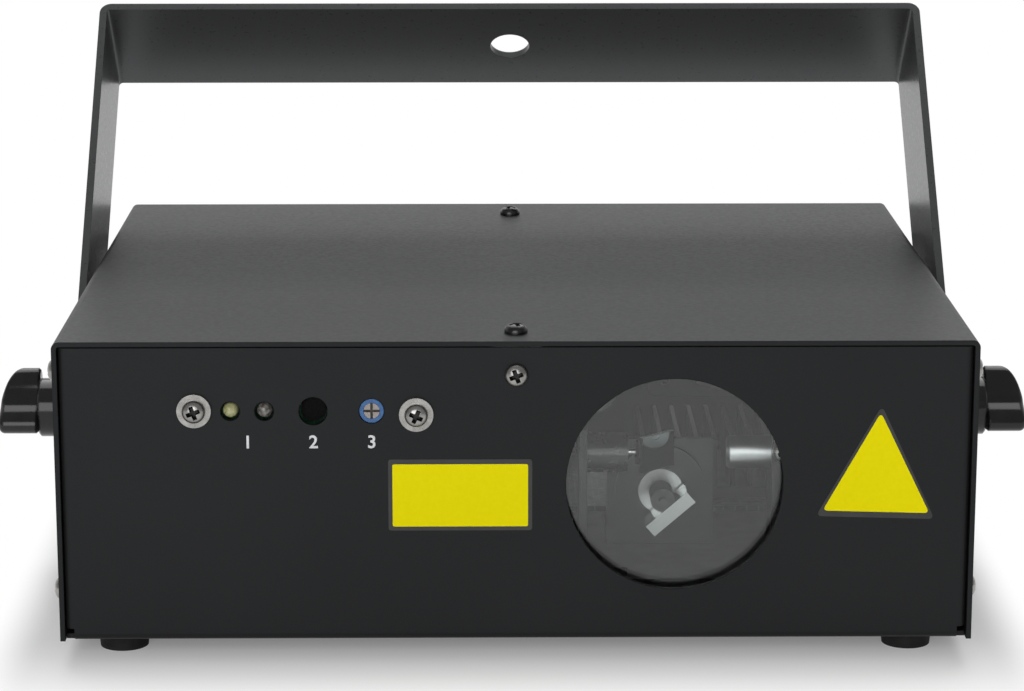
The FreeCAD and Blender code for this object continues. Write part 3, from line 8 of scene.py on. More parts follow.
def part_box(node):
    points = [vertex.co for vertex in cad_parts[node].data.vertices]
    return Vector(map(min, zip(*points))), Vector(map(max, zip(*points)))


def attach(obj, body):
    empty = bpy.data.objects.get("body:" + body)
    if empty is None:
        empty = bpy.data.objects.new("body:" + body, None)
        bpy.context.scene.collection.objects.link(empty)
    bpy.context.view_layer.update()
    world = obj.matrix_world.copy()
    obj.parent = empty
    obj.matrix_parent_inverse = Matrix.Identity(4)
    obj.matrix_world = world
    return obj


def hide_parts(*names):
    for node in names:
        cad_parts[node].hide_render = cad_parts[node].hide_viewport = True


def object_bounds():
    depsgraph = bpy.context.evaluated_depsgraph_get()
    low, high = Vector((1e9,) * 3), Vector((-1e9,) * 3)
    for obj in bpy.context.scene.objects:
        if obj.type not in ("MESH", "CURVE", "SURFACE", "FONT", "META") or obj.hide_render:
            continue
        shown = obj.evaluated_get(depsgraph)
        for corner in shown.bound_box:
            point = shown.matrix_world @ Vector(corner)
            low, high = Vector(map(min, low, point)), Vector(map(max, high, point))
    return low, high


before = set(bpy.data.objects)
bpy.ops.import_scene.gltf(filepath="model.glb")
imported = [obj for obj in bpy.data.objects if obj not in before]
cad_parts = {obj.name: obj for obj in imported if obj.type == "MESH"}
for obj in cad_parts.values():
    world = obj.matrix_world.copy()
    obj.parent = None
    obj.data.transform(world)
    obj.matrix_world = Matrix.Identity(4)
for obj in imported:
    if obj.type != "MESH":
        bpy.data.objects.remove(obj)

cad_low, cad_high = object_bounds()

# Chassis, hood and yoke: bent steel sheet, powder coated satin black.
# The baked powder leaves a fine orange-peel grain, and the bent edges are slightly round.
MM = 0.001
SHADE_DRIFT = 60 * MM
GLOSS_SPOT = 1.2 * MM
PEEL_SPOT = 0.45 * MM
BENT_EDGE = 0.35 * MM
COOL_SHEEN = (0.92, 0.98, 1.0, 1.0)


class Finish:
    """A material round one main shader, with short calls for the nodes that vary it."""

    def __init__(self, name, colour, roughness, metallic=0.0, specular=0.5):
        self.material = bpy.data.materials.new(name)
        self.material.use_nodes = True
        self.tree = self.material.node_tree
        self.shader = self.tree.nodes["Principled BSDF"]
        self.shader.inputs["Base Color"].default_value = (*colour, 1.0)
        self.shader.inputs["Roughness"].default_value = roughness
        self.shader.inputs["Metallic"].default_value = metallic
        self.shader.inputs["Specular IOR Level"].default_value = specular
        self.coordinates = self.tree.nodes.new("ShaderNodeTexCoord")
        self.normal = None

    def join(self, source, target):
        self.tree.links.new(source, target)

    def clouds(self, size, detail=2.0, stretch=(1.0, 1.0, 1.0)):
        """A soft random pattern whose spots are about size metres across."""
        scaled = self.tree.nodes.new("ShaderNodeMapping")
        scaled.inputs["Scale"].default_value = [way / size for way in stretch]
        noise = self.tree.nodes.new("ShaderNodeTexNoise")
        noise.inputs["Scale"].default_value = 1.0
        noise.inputs["Detail"].default_value = detail
        self.join(self.coordinates.outputs["Object"], scaled.inputs["Vector"])
        self.join(scaled.outputs["Vector"], noise.inputs["Vector"])
        return noise.outputs["Fac"]

    def spread_colour(self, pattern, dark, light, low=0.35, high=0.65):
        """Let the colour run from dark to light over the pattern."""
        ramp = self.tree.nodes.new("ShaderNodeValToRGB")
        ramp.color_ramp.elements[0].position = low
        ramp.color_ramp.elements[0].color = (*dark, 1.0)
        ramp.color_ramp.elements[1].position = high
        ramp.color_ramp.elements[1].color = (*light, 1.0)
        self.join(pattern, ramp.inputs["Fac"])
        self.join(ramp.outputs["Color"], self.shader.inputs["Base Color"])

    def spread_gloss(self, pattern, smooth, rough, low=0.3, high=0.7):
        """Let the roughness run from smooth to rough over the pattern."""
        spread = self.tree.nodes.new("ShaderNodeMapRange")
        spread.inputs["From Min"].default_value = low
        spread.inputs["From Max"].default_value = high
        spread.inputs["To Min"].default_value = smooth
        spread.inputs["To Max"].default_value = rough
        self.join(pattern, spread.inputs["Value"])
        self.join(spread.outputs["Result"], self.shader.inputs["Roughness"])

    def soft_edges(self, radius):
        """Shade sharp edges as if they were rounded."""
        edge = self.tree.nodes.new("ShaderNodeBevel")
        edge.samples = 4
        edge.inputs["Radius"].default_value = radius
        self.normal = edge.outputs["Normal"]
        self.join(self.normal, self.shader.inputs["Normal"])

    def relief(self, pattern, depth):
        """Raise and lower the surface over the pattern."""
        bump = self.tree.nodes.new("ShaderNodeBump")
        bump.inputs["Distance"].default_value = depth
        bump.inputs["Strength"].default_value = 1.0
        self.join(pattern, bump.inputs["Height"])
        if self.normal:
            self.join(self.normal, bump.inputs["Normal"])
        self.normal = bump.outputs["Normal"]
        self.join(self.normal, self.shader.inputs["Normal"])


def dress(finish, *nodes):
    """Give CAD nodes their finish."""
    for node in nodes:
        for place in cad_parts[node].material_slots:
            place.material = finish.material


def satin_paint(name, dark, light, smooth, rough, specular, grain):
    """Baked powder paint with a fine grain."""
    finish = Finish(name, light, rough, specular=specular)
    finish.spread_colour(finish.clouds(SHADE_DRIFT), dark, light)
    finish.spread_gloss(finish.clouds(GLOSS_SPOT), smooth, rough)
    finish.shader.inputs["Specular Tint"].default_value = COOL_SHEEN
    finish.soft_edges(BENT_EDGE)
    finish.relief(finish.clouds(PEEL_SPOT, detail=3.0), grain)
    return finish


case_paint = satin_paint("satin_case_paint", dark=(0.0122, 0.0123, 0.013), light=(0.0142, 0.0143, 0.0151),
                         smooth=0.42, rough=0.48, specular=0.15, grain=0.025 * MM)
# The yoke's copy of the powder coat is lighter than the case's: painted light that brightens its faces.
yoke_paint_painted_lighter = satin_paint("satin_yoke_paint_painted_lighter", dark=(0.046, 0.0465, 0.047), light=(0.05, 0.0505, 0.051),
                         smooth=0.27, rough=0.32, specular=0.5, grain=0.008 * MM)
dress(case_paint, "chassis", "hood")
dress(yoke_paint_painted_lighter, "yoke")

# Feet: moulded black rubber buttons, dull and a little dusty.
# Each is held to the floor of the chassis by one screw from below.
rubber = Finish("foot_rubber", (0.016, 0.016, 0.016), 0.75, specular=0.25)
rubber.spread_colour(rubber.clouds(4 * MM), (0.012, 0.012, 0.012), (0.022, 0.022, 0.021))
rubber.relief(rubber.clouds(0.3 * MM), 0.04 * MM)
dress(rubber, "rubber_feet")

# Screws: zinc-plated or blackened pan heads with a pressed cross recess and a rolled thread.
# Each group takes the places of the plain solids that stand for it.
HEAD_RADIUS = 2.8 * MM
HEAD_HEIGHT = 2.2 * MM
HEAD_RIM = 0.5 * MM
DOME_FULLNESS = 0.72
DOME_RISE = 1.1
DOME_STEPS = 9
SHANK_RADIUS = 1.5 * MM
THREAD_PITCH = 0.5 * MM
THREAD_DEPTH = 0.28 * MM
ROOT_PLACE = 0.1
CREST_PLACE = 0.55
RECESS_REACH = 2.05 * MM
RECESS_WIDTH = 1.15 * MM
RECESS_DEPTH = 1.5 * MM
RECESS_TIP_REACH = 0.5 * RECESS_REACH
RECESS_TIP_WIDTH = 0.7 * RECESS_WIDTH
PUNCH_TOP = 1.2 * HEAD_HEIGHT
# How far from the axis, and how far under the dome, the painted shade in each cross recess reaches.
PAINTED_SHADE_REACH = 0.8 * HEAD_RADIUS
PAINTED_SHADE_START = 0.1 * MM
FIRST_TURN = 0.35
NEXT_TURN = 0.8
SCREW_SIDES = 36
SHARP_CORNER = math.radians(32)
SAME_POINT = 1e-7
SAME_CAD_POINT = 1e-6


def turned(profile, sides):
    """A turned solid: radius and height points swept round the Z axis."""
    solid = bmesh.new()
    points = [solid.verts.new((radius, 0.0, height)) for radius, height in profile]
    edges = [solid.edges.new(pair) for pair in zip(points, points[1:])]
    bmesh.ops.spin(solid, geom=points + edges, axis=(0, 0, 1), cent=(0, 0, 0),
                   angle=math.tau, steps=sides, use_merge=True)
    bmesh.ops.remove_doubles(solid, verts=solid.verts, dist=SAME_POINT)
    bmesh.ops.recalc_face_normals(solid, faces=solid.faces)
    return solid


def smoothed(mesh):
    """The mesh with smooth faces and sharp corners."""
    mesh.shade_smooth()
    mesh.set_sharp_from_angle(angle=SHARP_CORNER)
    return mesh


def to_mesh(solid, name):
    """Turn a finished bmesh into a smoothed mesh."""
    mesh = bpy.data.meshes.new(name)
    solid.to_mesh(mesh)
    solid.free()
    return smoothed(mesh)


def new_piece(name, mesh, finish):
    """A new object of the model with its finish."""
    piece = bpy.data.objects.new(name, mesh)
    bpy.context.scene.collection.objects.link(piece)
    mesh.materials.append(finish.material)
    return piece


def combined(blank, tool, operation):
    """The blank mesh with the tool's shape cut out of it or joined to it."""
    held = bpy.data.objects.new("blank", blank)
    cutter = bpy.data.objects.new("tool", tool)
    for thing in (held, cutter):
        bpy.context.scene.collection.objects.link(thing)
    working = held.modifiers.new("working", "BOOLEAN")
    working.operation = operation
    working.object = cutter
    bpy.context.view_layer.update()
    worked = held.evaluated_get(bpy.context.evaluated_depsgraph_get())
    result = bpy.data.meshes.new_from_object(worked)
    for thing in (held, cutter):
        bpy.data.objects.remove(thing)
    return result


def cross_ring(solid, reach, width, height):
    """The twelve corners of a plus sign at one height."""
    half = width / 2
    corners = []
    for quarter in range(4):
        turn = Matrix.Rotation(math.pi / 2 * quarter, 3, "Z")
        for x, y in ((half, half), (half, reach), (-half, reach)):
            corners.append(solid.verts.new(turn @ Vector((x, y, height))))
    return corners


def cross_tool():
    """The punch of the recess: a plus sign that narrows downwards."""
    solid = bmesh.new()
    lower = cross_ring(solid, RECESS_TIP_REACH, RECESS_TIP_WIDTH, HEAD_HEIGHT - RECESS_DEPTH)
    upper = cross_ring(solid, RECESS_REACH, RECESS_WIDTH, PUNCH_TOP)
    solid.faces.new(lower)
    solid.faces.new(upper)
    for index in range(len(lower)):
        after = (index + 1) % len(lower)
        solid.faces.new((lower[index], lower[after], upper[after], upper[index]))
    bmesh.ops.recalc_face_normals(solid, faces=solid.faces)
    bmesh.ops.triangulate(solid, faces=solid.faces)
    return to_mesh(solid, "cross_tool")


def dome_height(rise):
    """The height of the domed head where its outline has turned by an angle of this sine."""
    return HEAD_RIM + (HEAD_HEIGHT - HEAD_RIM) * rise ** DOME_RISE


def screw_mesh(shank_length):
    """One screw: the head stands on z = 0 and the threaded shank hangs below."""
    profile = [(0.0, -shank_length), (SHANK_RADIUS - THREAD_DEPTH, -shank_length)]
    for thread in range(int(shank_length / THREAD_PITCH)):
        start = -shank_length + thread * THREAD_PITCH
        profile.append((SHANK_RADIUS - THREAD_DEPTH, start + THREAD_PITCH * ROOT_PLACE))
        profile.append((SHANK_RADIUS, start + THREAD_PITCH * CREST_PLACE))
    profile += [(SHANK_RADIUS, 0.0), (HEAD_RADIUS, 0.0), (HEAD_RADIUS, HEAD_RIM)]
    for step in range(1, DOME_STEPS):
        turn = math.pi / 2 * step / DOME_STEPS
        profile.append((HEAD_RADIUS * math.cos(turn) ** DOME_FULLNESS, dome_height(math.sin(turn))))
    profile.append((0.0, HEAD_HEIGHT))
    screw = combined(to_mesh(turned(profile, SCREW_SIDES), "screw_blank"), cross_tool(), "DIFFERENCE")
    # Faces sunk in the cross recess near the middle take the second slot, a near-black material: painted shade
    # in the recess.
    for face in screw.polygons:
        reach = face.center.xy.length
        rise = math.sqrt(max(0.0, 1.0 - (reach / HEAD_RADIUS) ** (2 / DOME_FULLNESS)))
        sunk = 0.0 < face.center.z < dome_height(rise) - PAINTED_SHADE_START
        face.material_index = int(sunk and reach < PAINTED_SHADE_REACH)
    return screw


def solids_of(node):
    """The points of each separate solid in a CAD node, one list after the other."""
    solid = bmesh.new()
    solid.from_mesh(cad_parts[node].data)
    bmesh.ops.remove_doubles(solid, verts=solid.verts, dist=SAME_CAD_POINT)
    seen = set()
    for start in solid.verts:
        if start in seen:
            continue
        seen.add(start)
        found = [start]
        for point in found:
            for edge in point.link_edges:
                other = edge.other_vert(point)
                if other not in seen:
                    seen.add(other)
                    found.append(other)
        yield [point.co.copy() for point in found]
    solid.free()


def screw_place(points):
    """Where the underside of a plain screw's head is, which way it faces, and how long its shank is."""
    low = Vector([min(point[i] for point in points) for i in range(3)])
    high = Vector([max(point[i] for point in points) for i in range(3)])
    extent = high - low
    middle = (low + high) / 2
    axis = max(range(3), key=lambda i: abs(extent[i] - 2 * HEAD_RADIUS))
    way = Vector([1.0 if i == axis else 0.0 for i in range(3)])
    head_end = 0.0
    for point in points:
        along = (point - middle).dot(way)
        if (point - middle - way * along).length > (SHANK_RADIUS + HEAD_RADIUS) / 2:
            head_end += along
    out = way * math.copysign(1.0, head_end)
    seat = middle + out * (extent[axis] / 2 - HEAD_HEIGHT)
    return seat, out, extent[axis] - HEAD_HEIGHT


def screw_group(node, finish):
    """Replace the plain screws of a CAD node by screws with recess and thread."""
    joined = bmesh.new()
    for number, points in enumerate(solids_of(node)):
        seat, out, shank_length = screw_place(points)
        single = screw_mesh(shank_length)
        single.transform(Matrix.Rotation(FIRST_TURN + NEXT_TURN * number, 4, "Z"))
        facing_out = out.to_track_quat("Z", "Y").to_matrix().to_4x4()
        single.transform(Matrix.Translation(seat) @ facing_out)
        joined.from_mesh(single)
        bpy.data.meshes.remove(single)
    piece = new_piece(f"{node}_crossed", to_mesh(joined, node), finish)
    piece.data.materials.append(recess_painted_shade.material)
    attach(piece, "housing")
    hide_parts(node)


zinc_plate = Finish("zinc_plated_steel", (0.31, 0.305, 0.29), 0.3, metallic=1.0)
zinc_plate.spread_colour(zinc_plate.clouds(3 * MM), (0.26, 0.255, 0.245), (0.35, 0.345, 0.33))
zinc_plate.spread_gloss(zinc_plate.clouds(0.8 * MM), 0.24, 0.38)
zinc_plate.soft_edges(0.12 * MM)
black_oxide = Finish("blackened_steel", (0.03, 0.03, 0.032), 0.26, metallic=0.7)
black_oxide.spread_colour(black_oxide.clouds(2 * MM), (0.02, 0.02, 0.021), (0.045, 0.045, 0.046))
black_oxide.spread_gloss(black_oxide.clouds(2 * MM), 0.2, 0.3)
black_oxide.soft_edges(0.12 * MM)
# Near-black metal for the faces inside the cross recesses: painted shade where the recess lies in shadow.
recess_painted_shade = Finish("recess_painted_shade", (0.012, 0.012, 0.012), 0.5, metallic=0.4)
recess_painted_shade.spread_colour(recess_painted_shade.clouds(0.6 * MM), (0.006, 0.006, 0.006), (0.02, 0.019, 0.018))
screw_group("foot_screws", zinc_plate)

# Optical plate, laser clamp, heat sink and motor brackets: milled and folded aluminium, anodised black.
# The plate stands on pillars, and everything that guides the beam is fixed to it.
black_anodised = Finish("black_anodised_aluminium", (0.02, 0.02, 0.022), 0.4, specular=0.45)
black_anodised.spread_colour(black_anodised.clouds(6 * MM), (0.014, 0.014, 0.016), (0.03, 0.03, 0.032))
black_anodised.spread_gloss(black_anodised.clouds(4 * MM), 0.36, 0.44)
black_anodised.soft_edges(0.2 * MM)
dress(black_anodised, "optical_plate", "pillars", "laser_clamp", "heat_sink", "pan_bracket", "tilt_bracket")
screw_group("laser_clamp_screws", zinc_plate)

# Laser barrel and board spacers: turned bare aluminium with fine lathe marks.
# The marks run round the barrel, so the pattern is stretched across its axis.
turned_aluminium = Finish("turned_aluminium", (0.5, 0.51, 0.52), 0.34, metallic=1.0)
turned_aluminium.spread_colour(turned_aluminium.clouds(5 * MM), (0.46, 0.47, 0.48), (0.54, 0.55, 0.56))
lathe_marks = turned_aluminium.clouds(0.15 * MM, stretch=(1.0, 0.06, 0.06))
turned_aluminium.spread_gloss(lathe_marks, 0.34, 0.42)
turned_aluminium.soft_edges(0.15 * MM)
dress(turned_aluminium, "laser_barrel", "board_spacers")

# Scanner motors: black bodies with steel shafts; the lower one's locating boss is faced bare on the lathe.
# The boss is the part of the motor that stands in front of its flange.
BOSS_RADIUS = 5.72 * MM
motor_low, motor_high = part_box("pan_motor")
faced_motor = Finish("faced_motor_housing", (0.02, 0.02, 0.022), 0.42)
from_axis = faced_motor.tree.nodes.new("ShaderNodeVectorMath")
from_axis.operation = "SUBTRACT"
from_axis.inputs[1].default_value = (motor_low + motor_high) / 2
across_axis = faced_motor.tree.nodes.new("ShaderNodeVectorMath")
across_axis.operation = "MULTIPLY"
across_axis.inputs[1].default_value = (1.0, 0.0, 1.0)
off_axis = faced_motor.tree.nodes.new("ShaderNodeVectorMath")
off_axis.operation = "LENGTH"
on_boss = faced_motor.tree.nodes.new("ShaderNodeMath")
on_boss.operation = "LESS_THAN"
on_boss.inputs[1].default_value = BOSS_RADIUS
faced_motor.join(faced_motor.coordinates.outputs["Object"], from_axis.inputs[0])
faced_motor.join(from_axis.outputs["Vector"], across_axis.inputs[0])
faced_motor.join(across_axis.outputs["Vector"], off_axis.inputs[0])
faced_motor.join(off_axis.outputs["Value"], on_boss.inputs[0])
faced_motor.join(on_boss.outputs["Value"], faced_motor.shader.inputs["Metallic"])
faced_motor.spread_colour(on_boss.outputs["Value"], (0.016, 0.016, 0.018), (0.36, 0.36, 0.355), 0.0, 1.0)
faced_motor.spread_gloss(faced_motor.clouds(3 * MM), 0.36, 0.46)
dress(faced_motor, "pan_motor")
blasted_hub = Finish("blasted_shaft_hub", (0.1, 0.1, 0.1), 0.55, specular=0.3)
blasted_hub.spread_colour(blasted_hub.clouds(1.5 * MM), (0.085, 0.086, 0.088), (0.115, 0.116, 0.118))
blasted_hub.relief(blasted_hub.clouds(0.25 * MM), 0.01 * MM)
dress(blasted_hub, "pan_mirror_shaft")
dress(black_oxide, "tilt_motor")
dress(zinc_plate, "tilt_mirror_shaft")

# Scanner mirrors: cut glass, silvered on the broad faces, with ground edges that scatter white light.
# Each is glued to the shaft of its motor.
GROUND_FROM = 0.55
GROUND_FULL = 0.7


def cut_mirror(name, edge_way):
    """Silvered glass whose faces that look along edge_way are ground."""
    finish = Finish(name, (0.82, 0.87, 0.85), 0.04, metallic=1.0)
    facing = finish.tree.nodes.new("ShaderNodeVectorMath")
    facing.operation = "DOT_PRODUCT"
    facing.inputs[1].default_value = edge_way
    ground = finish.tree.nodes.new("ShaderNodeMapRange")
    ground.inputs["From Min"].default_value = GROUND_FROM
    ground.inputs["From Max"].default_value = GROUND_FULL
    polish = finish.tree.nodes.new("ShaderNodeMapRange")
    polish.inputs["To Min"].default_value = 1.0
    polish.inputs["To Max"].default_value = 0.0
    either_way = finish.tree.nodes.new("ShaderNodeMath")
    either_way.operation = "ABSOLUTE"
    finish.join(finish.coordinates.outputs["Normal"], facing.inputs[0])
    finish.join(facing.outputs["Value"], either_way.inputs[0])
    finish.join(either_way.outputs["Value"], ground.inputs["Value"])
    finish.join(ground.outputs["Result"], polish.inputs["Value"])
    finish.join(polish.outputs["Result"], finish.shader.inputs["Metallic"])
    finish.spread_colour(ground.outputs["Result"], (0.78, 0.83, 0.82), (0.9, 0.95, 0.93), 0.0, 1.0)
    rough = finish.tree.nodes.new("ShaderNodeMapRange")
    rough.inputs["To Min"].default_value = 0.03
    rough.inputs["To Max"].default_value = 0.5
    finish.join(ground.outputs["Result"], rough.inputs["Value"])
    finish.join(rough.outputs["Result"], finish.shader.inputs["Roughness"])
    return finish


dress(cut_mirror("lower_mirror_glass", (0.0, 1.0, 0.0)), "pan_mirror")
dress(cut_mirror("upper_mirror_glass", (0.0, 0.0, 1.0)), "tilt_mirror")

# Circuit boards: glass-fibre sheet under green solder mask, with copper runs showing as lighter lines.
# They stand on spacers and pillars behind the panels.
RUN_PATTERN_SCALE = 160.0
RUN_PATTERN_WIDTH = 0.03
board_green = Finish("green_circuit_board", (0.012, 0.075, 0.035), 0.35)
copper_runs = board_green.tree.nodes.new("ShaderNodeTexBrick")
copper_runs.inputs["Color1"].default_value = (0.01, 0.06, 0.028, 1.0)
copper_runs.inputs["Color2"].default_value = (0.014, 0.085, 0.04, 1.0)
copper_runs.inputs["Mortar"].default_value = (0.03, 0.16, 0.07, 1.0)
copper_runs.inputs["Scale"].default_value = RUN_PATTERN_SCALE
copper_runs.inputs["Mortar Size"].default_value = RUN_PATTERN_WIDTH
board_green.join(board_green.coordinates.outputs["Object"], copper_runs.inputs["Vector"])
board_green.join(copper_runs.outputs["Color"], board_green.shader.inputs["Base Color"])
board_green.spread_gloss(board_green.clouds(2 * MM), 0.28, 0.42)
board_green.relief(copper_runs.outputs["Fac"], -0.03 * MM)
dress(board_green, "control_board", "main_board", "menu_board")

# Power supply: a closed case of zinc-plated sheet on the floor of the chassis.
# The rolled sheet keeps fine lines along its length, and the plating is a little cloudy.
case_sheet = Finish("plated_case_sheet", (0.55, 0.56, 0.56), 0.36, metallic=1.0)
case_sheet.spread_colour(case_sheet.clouds(18 * MM), (0.46, 0.47, 0.47), (0.62, 0.63, 0.63))
rolling_marks = case_sheet.clouds(0.4 * MM, stretch=(0.05, 1.0, 1.0))
case_sheet.spread_gloss(rolling_marks, 0.28, 0.46)
case_sheet.soft_edges(0.3 * MM)
dress(case_sheet, "power_supply")

# Fan: frame and rotor of glass-filled black plastic with a fine eroded texture.
# The frame is screwed to the rear panel over the air slots.
black_plastic = Finish("moulded_black_plastic", (0.018, 0.018, 0.019), 0.5, specular=0.4)
black_plastic.spread_colour(black_plastic.clouds(5 * MM), (0.014, 0.014, 0.015), (0.024, 0.024, 0.025))
black_plastic.spread_gloss(black_plastic.clouds(1.5 * MM), 0.42, 0.58)
black_plastic.soft_edges(0.25 * MM)
black_plastic.relief(black_plastic.clouds(0.18 * MM), 0.02 * MM)
dress(black_plastic, "fan_frame", "fan_rotor")
screw_group("fan_screws", black_oxide)

# Rear sockets: die-cast nickel shells for the control leads, and a mains inlet of black plastic.
# They are set through the rear panel from outside, with plated pins and blackened screws.
nickel_shell = Finish("nickel_shell", (0.6, 0.58, 0.54), 0.3, metallic=1.0)
nickel_shell.spread_colour(nickel_shell.clouds(4 * MM), (0.48, 0.47, 0.44), (0.54, 0.53, 0.5))
nickel_shell.spread_gloss(nickel_shell.clouds(0.8 * MM), 0.28, 0.4)
nickel_shell.soft_edges(0.3 * MM)
contact_brass = Finish("plated_contact_brass", (0.72, 0.55, 0.25), 0.24, metallic=1.0)
contact_brass.spread_colour(contact_brass.clouds(1.5 * MM), (0.64, 0.48, 0.2), (0.78, 0.61, 0.3))
contact_brass.spread_gloss(contact_brass.clouds(0.6 * MM), 0.18, 0.3)
dress(nickel_shell, "dmx_input", "dmx_output")
dress(black_plastic, "mains_inlet")
dress(contact_brass, "connector_pins")
screw_group("connector_screws", black_oxide)

# Key switch: bright plated collar set through the rear panel.
# The plug that the key turns is plain zinc-plated steel with a slot.
bright_plate = Finish("bright_plated_collar", (0.6, 0.6, 0.61), 0.12, metallic=1.0)
bright_plate.spread_colour(bright_plate.clouds(4 * MM), (0.56, 0.56, 0.57), (0.63, 0.63, 0.64))
bright_plate.spread_gloss(bright_plate.clouds(0.9 * MM), 0.07, 0.2)
bright_plate.soft_edges(0.4 * MM)
dress(bright_plate, "key_switch")
dress(zinc_plate, "key_plug")

# Menu: a dark red filter over an unlit three-figure display, and four moulded push buttons.
# The bars of the figures stand out of the filter by a hair and are only a little paler than it.
DIGIT_TALL = 7.6 * MM
DIGIT_WIDE = 4.2 * MM
DIGIT_PITCH = 6.6 * MM
BAR_WIDE = 0.9 * MM
BAR_PROUD = 0.03 * MM
BAR_GAP = 0.15 * MM
DIGIT_SLANT = 0.12
display_filter = Finish("red_display_filter", (0.035, 0.004, 0.004), 0.08)
display_filter.spread_colour(display_filter.clouds(8 * MM), (0.028, 0.003, 0.003), (0.042, 0.006, 0.005))
display_filter.spread_gloss(display_filter.clouds(3 * MM), 0.05, 0.14)
unlit_bar = Finish("unlit_display_bar", (0.09, 0.03, 0.028), 0.3)
unlit_bar.spread_colour(unlit_bar.clouds(1.2 * MM), (0.075, 0.024, 0.022), (0.105, 0.036, 0.033))
button_plastic = Finish("button_plastic", (0.07, 0.07, 0.075), 0.45)
button_plastic.spread_colour(button_plastic.clouds(2 * MM), (0.06, 0.06, 0.065), (0.085, 0.085, 0.09))
button_plastic.soft_edges(0.5 * MM)
button_plastic.relief(button_plastic.clouds(0.2 * MM), 0.015 * MM)
dress(display_filter, "menu_display")
dress(button_plastic, "menu_button_1", "menu_button_2", "menu_button_3", "menu_button_4")
display_low, display_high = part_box("menu_display")
display_middle = (display_low + display_high) / 2


def display_bar(solid, middle, along, half_length):
    """One six-sided bar of a figure, raised a little from the filter's face."""
    across = Vector((-along.z, 0.0, along.x))
    half = BAR_WIDE / 2
    corners = []
    for flank, end in ((1, -1), (1, 1), (0, 1), (-1, 1), (-1, -1), (0, -1)):
        reach = half_length - (half if flank else 0.0)
        point = middle + along * (end * reach) + across * (flank * half)
        point.x += (point.z - display_middle.z) * DIGIT_SLANT
        corners.append(solid.verts.new((point.x, display_high.y, point.z)))
    face = solid.faces.new(corners)
    raised = bmesh.ops.extrude_face_region(solid, geom=[face])
    for item in raised["geom"]:
        if isinstance(item, bmesh.types.BMVert):
            item.co.y += BAR_PROUD


figures = bmesh.new()
upright = Vector((0.0, 0.0, 1.0))
sideways = Vector((1.0, 0.0, 0.0))
for digit in (-1, 0, 1):
    digit_middle = display_middle + sideways * (digit * DIGIT_PITCH)
    for row in (-1, 0, 1):
        bar_middle = digit_middle + upright * (row * DIGIT_TALL / 2)
        display_bar(figures, bar_middle, sideways, DIGIT_WIDE / 2 - BAR_GAP)
    for column in (-1, 1):
        for row in (-1, 1):
            bar_middle = digit_middle + sideways * (column * DIGIT_WIDE / 2) + upright * (row * DIGIT_TALL / 4)
            display_bar(figures, bar_middle, upright, DIGIT_TALL / 4 - BAR_GAP)
bmesh.ops.recalc_face_normals(figures, faces=figures.faces)
display_figures = new_piece("display_figures", to_mesh(figures, "display_figures"), unlit_bar)
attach(display_figures, "housing")

# Front controls: two clear-bodied lamps, the microphone capsule and a trimmer with a slotted rotor.
# They sit on a board behind the panel, which two screws with washers hold.


def lamp_resin(name, colour, deep_colour):
    """Cast resin, a little cloudy, of a lamp that is not lit."""
    finish = Finish(name, colour, 0.1)
    finish.spread_colour(finish.clouds(0.9 * MM), deep_colour, colour)
    finish.spread_gloss(finish.clouds(0.5 * MM), 0.06, 0.16)
    finish.shader.inputs["Transmission Weight"].default_value = 0.35
    finish.shader.inputs["IOR"].default_value = 1.5
    return finish


dress(lamp_resin("warm_lamp_resin", (0.78, 0.76, 0.42), (0.5, 0.5, 0.2)), "left_led")
dress(lamp_resin("grey_lamp_resin", (0.36, 0.34, 0.31), (0.12, 0.11, 0.1)), "right_led")
capsule_felt = Finish("capsule_felt", (0.006, 0.006, 0.006), 0.95, specular=0.1)
capsule_felt.spread_colour(capsule_felt.clouds(0.4 * MM), (0.004, 0.004, 0.004), (0.009, 0.009, 0.009))
capsule_felt.relief(capsule_felt.clouds(0.2 * MM), 0.05 * MM)
dress(capsule_felt, "microphone")
trimmer_blue = Finish("trimmer_blue_plastic", (0.03, 0.12, 0.32), 0.4)
trimmer_blue.spread_colour(trimmer_blue.clouds(1.0 * MM), (0.022, 0.1, 0.27), (0.038, 0.14, 0.36))
trimmer_blue.soft_edges(0.15 * MM)
dress(trimmer_blue, "trimmer_body")
# The rotor turns dark the deeper its surface lies in the slot: painted shade inside the slot.
SLOT_TOP = 0.1 * MM
SLOT_FLOOR = 0.4 * MM
rotor_cream = Finish("trimmer_rotor_plastic", (0.34, 0.31, 0.29), 0.45)
rotor_depth = rotor_cream.tree.nodes.new("ShaderNodeSeparateXYZ")
rotor_cream.join(rotor_cream.coordinates.outputs["Object"], rotor_depth.inputs["Vector"])
slot_painted_shade = rotor_cream.tree.nodes.new("ShaderNodeMapRange")
slot_painted_shade.inputs["From Min"].default_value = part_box("trimmer_rotor")[0].y + SLOT_TOP
slot_painted_shade.inputs["From Max"].default_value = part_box("trimmer_rotor")[0].y + SLOT_FLOOR
rotor_cream.join(rotor_depth.outputs["Y"], slot_painted_shade.inputs["Value"])
rotor_cream.spread_colour(slot_painted_shade.outputs["Result"], (0.34, 0.31, 0.29), (0.03, 0.018, 0.012), 0.0, 1.0)
rotor_cream.spread_gloss(rotor_cream.clouds(0.8 * MM), 0.35, 0.55)
dress(rotor_cream, "trimmer_rotor")
dress(zinc_plate, "board_washers")
screw_group("board_screws", zinc_plate)

# Window: a disc of clear float glass behind the round opening, bedded in a rubber ring.
# It carries the light film of handling marks that any such pane has.
window_glass = Finish("window_glass", (0.95, 0.98, 0.97), 0.0)
window_glass.spread_gloss(window_glass.clouds(12 * MM), 0.0, 0.015)
window_glass.shader.inputs["Transmission Weight"].default_value = 1.0
window_glass.shader.inputs["IOR"].default_value = 1.5
dress(window_glass, "window_pane")
dress(rubber, "window_gasket")

# Hood screws: blackened pan heads in the top, zinc-plated ones in the sides and the panels.
# They run into the side flanges of the chassis and into two zinc-plated angle brackets.
dress(zinc_plate, "front_angle_bracket", "rear_angle_bracket")
screw_group("hood_top_screws", black_oxide)
screw_group("case_screws", zinc_plate)

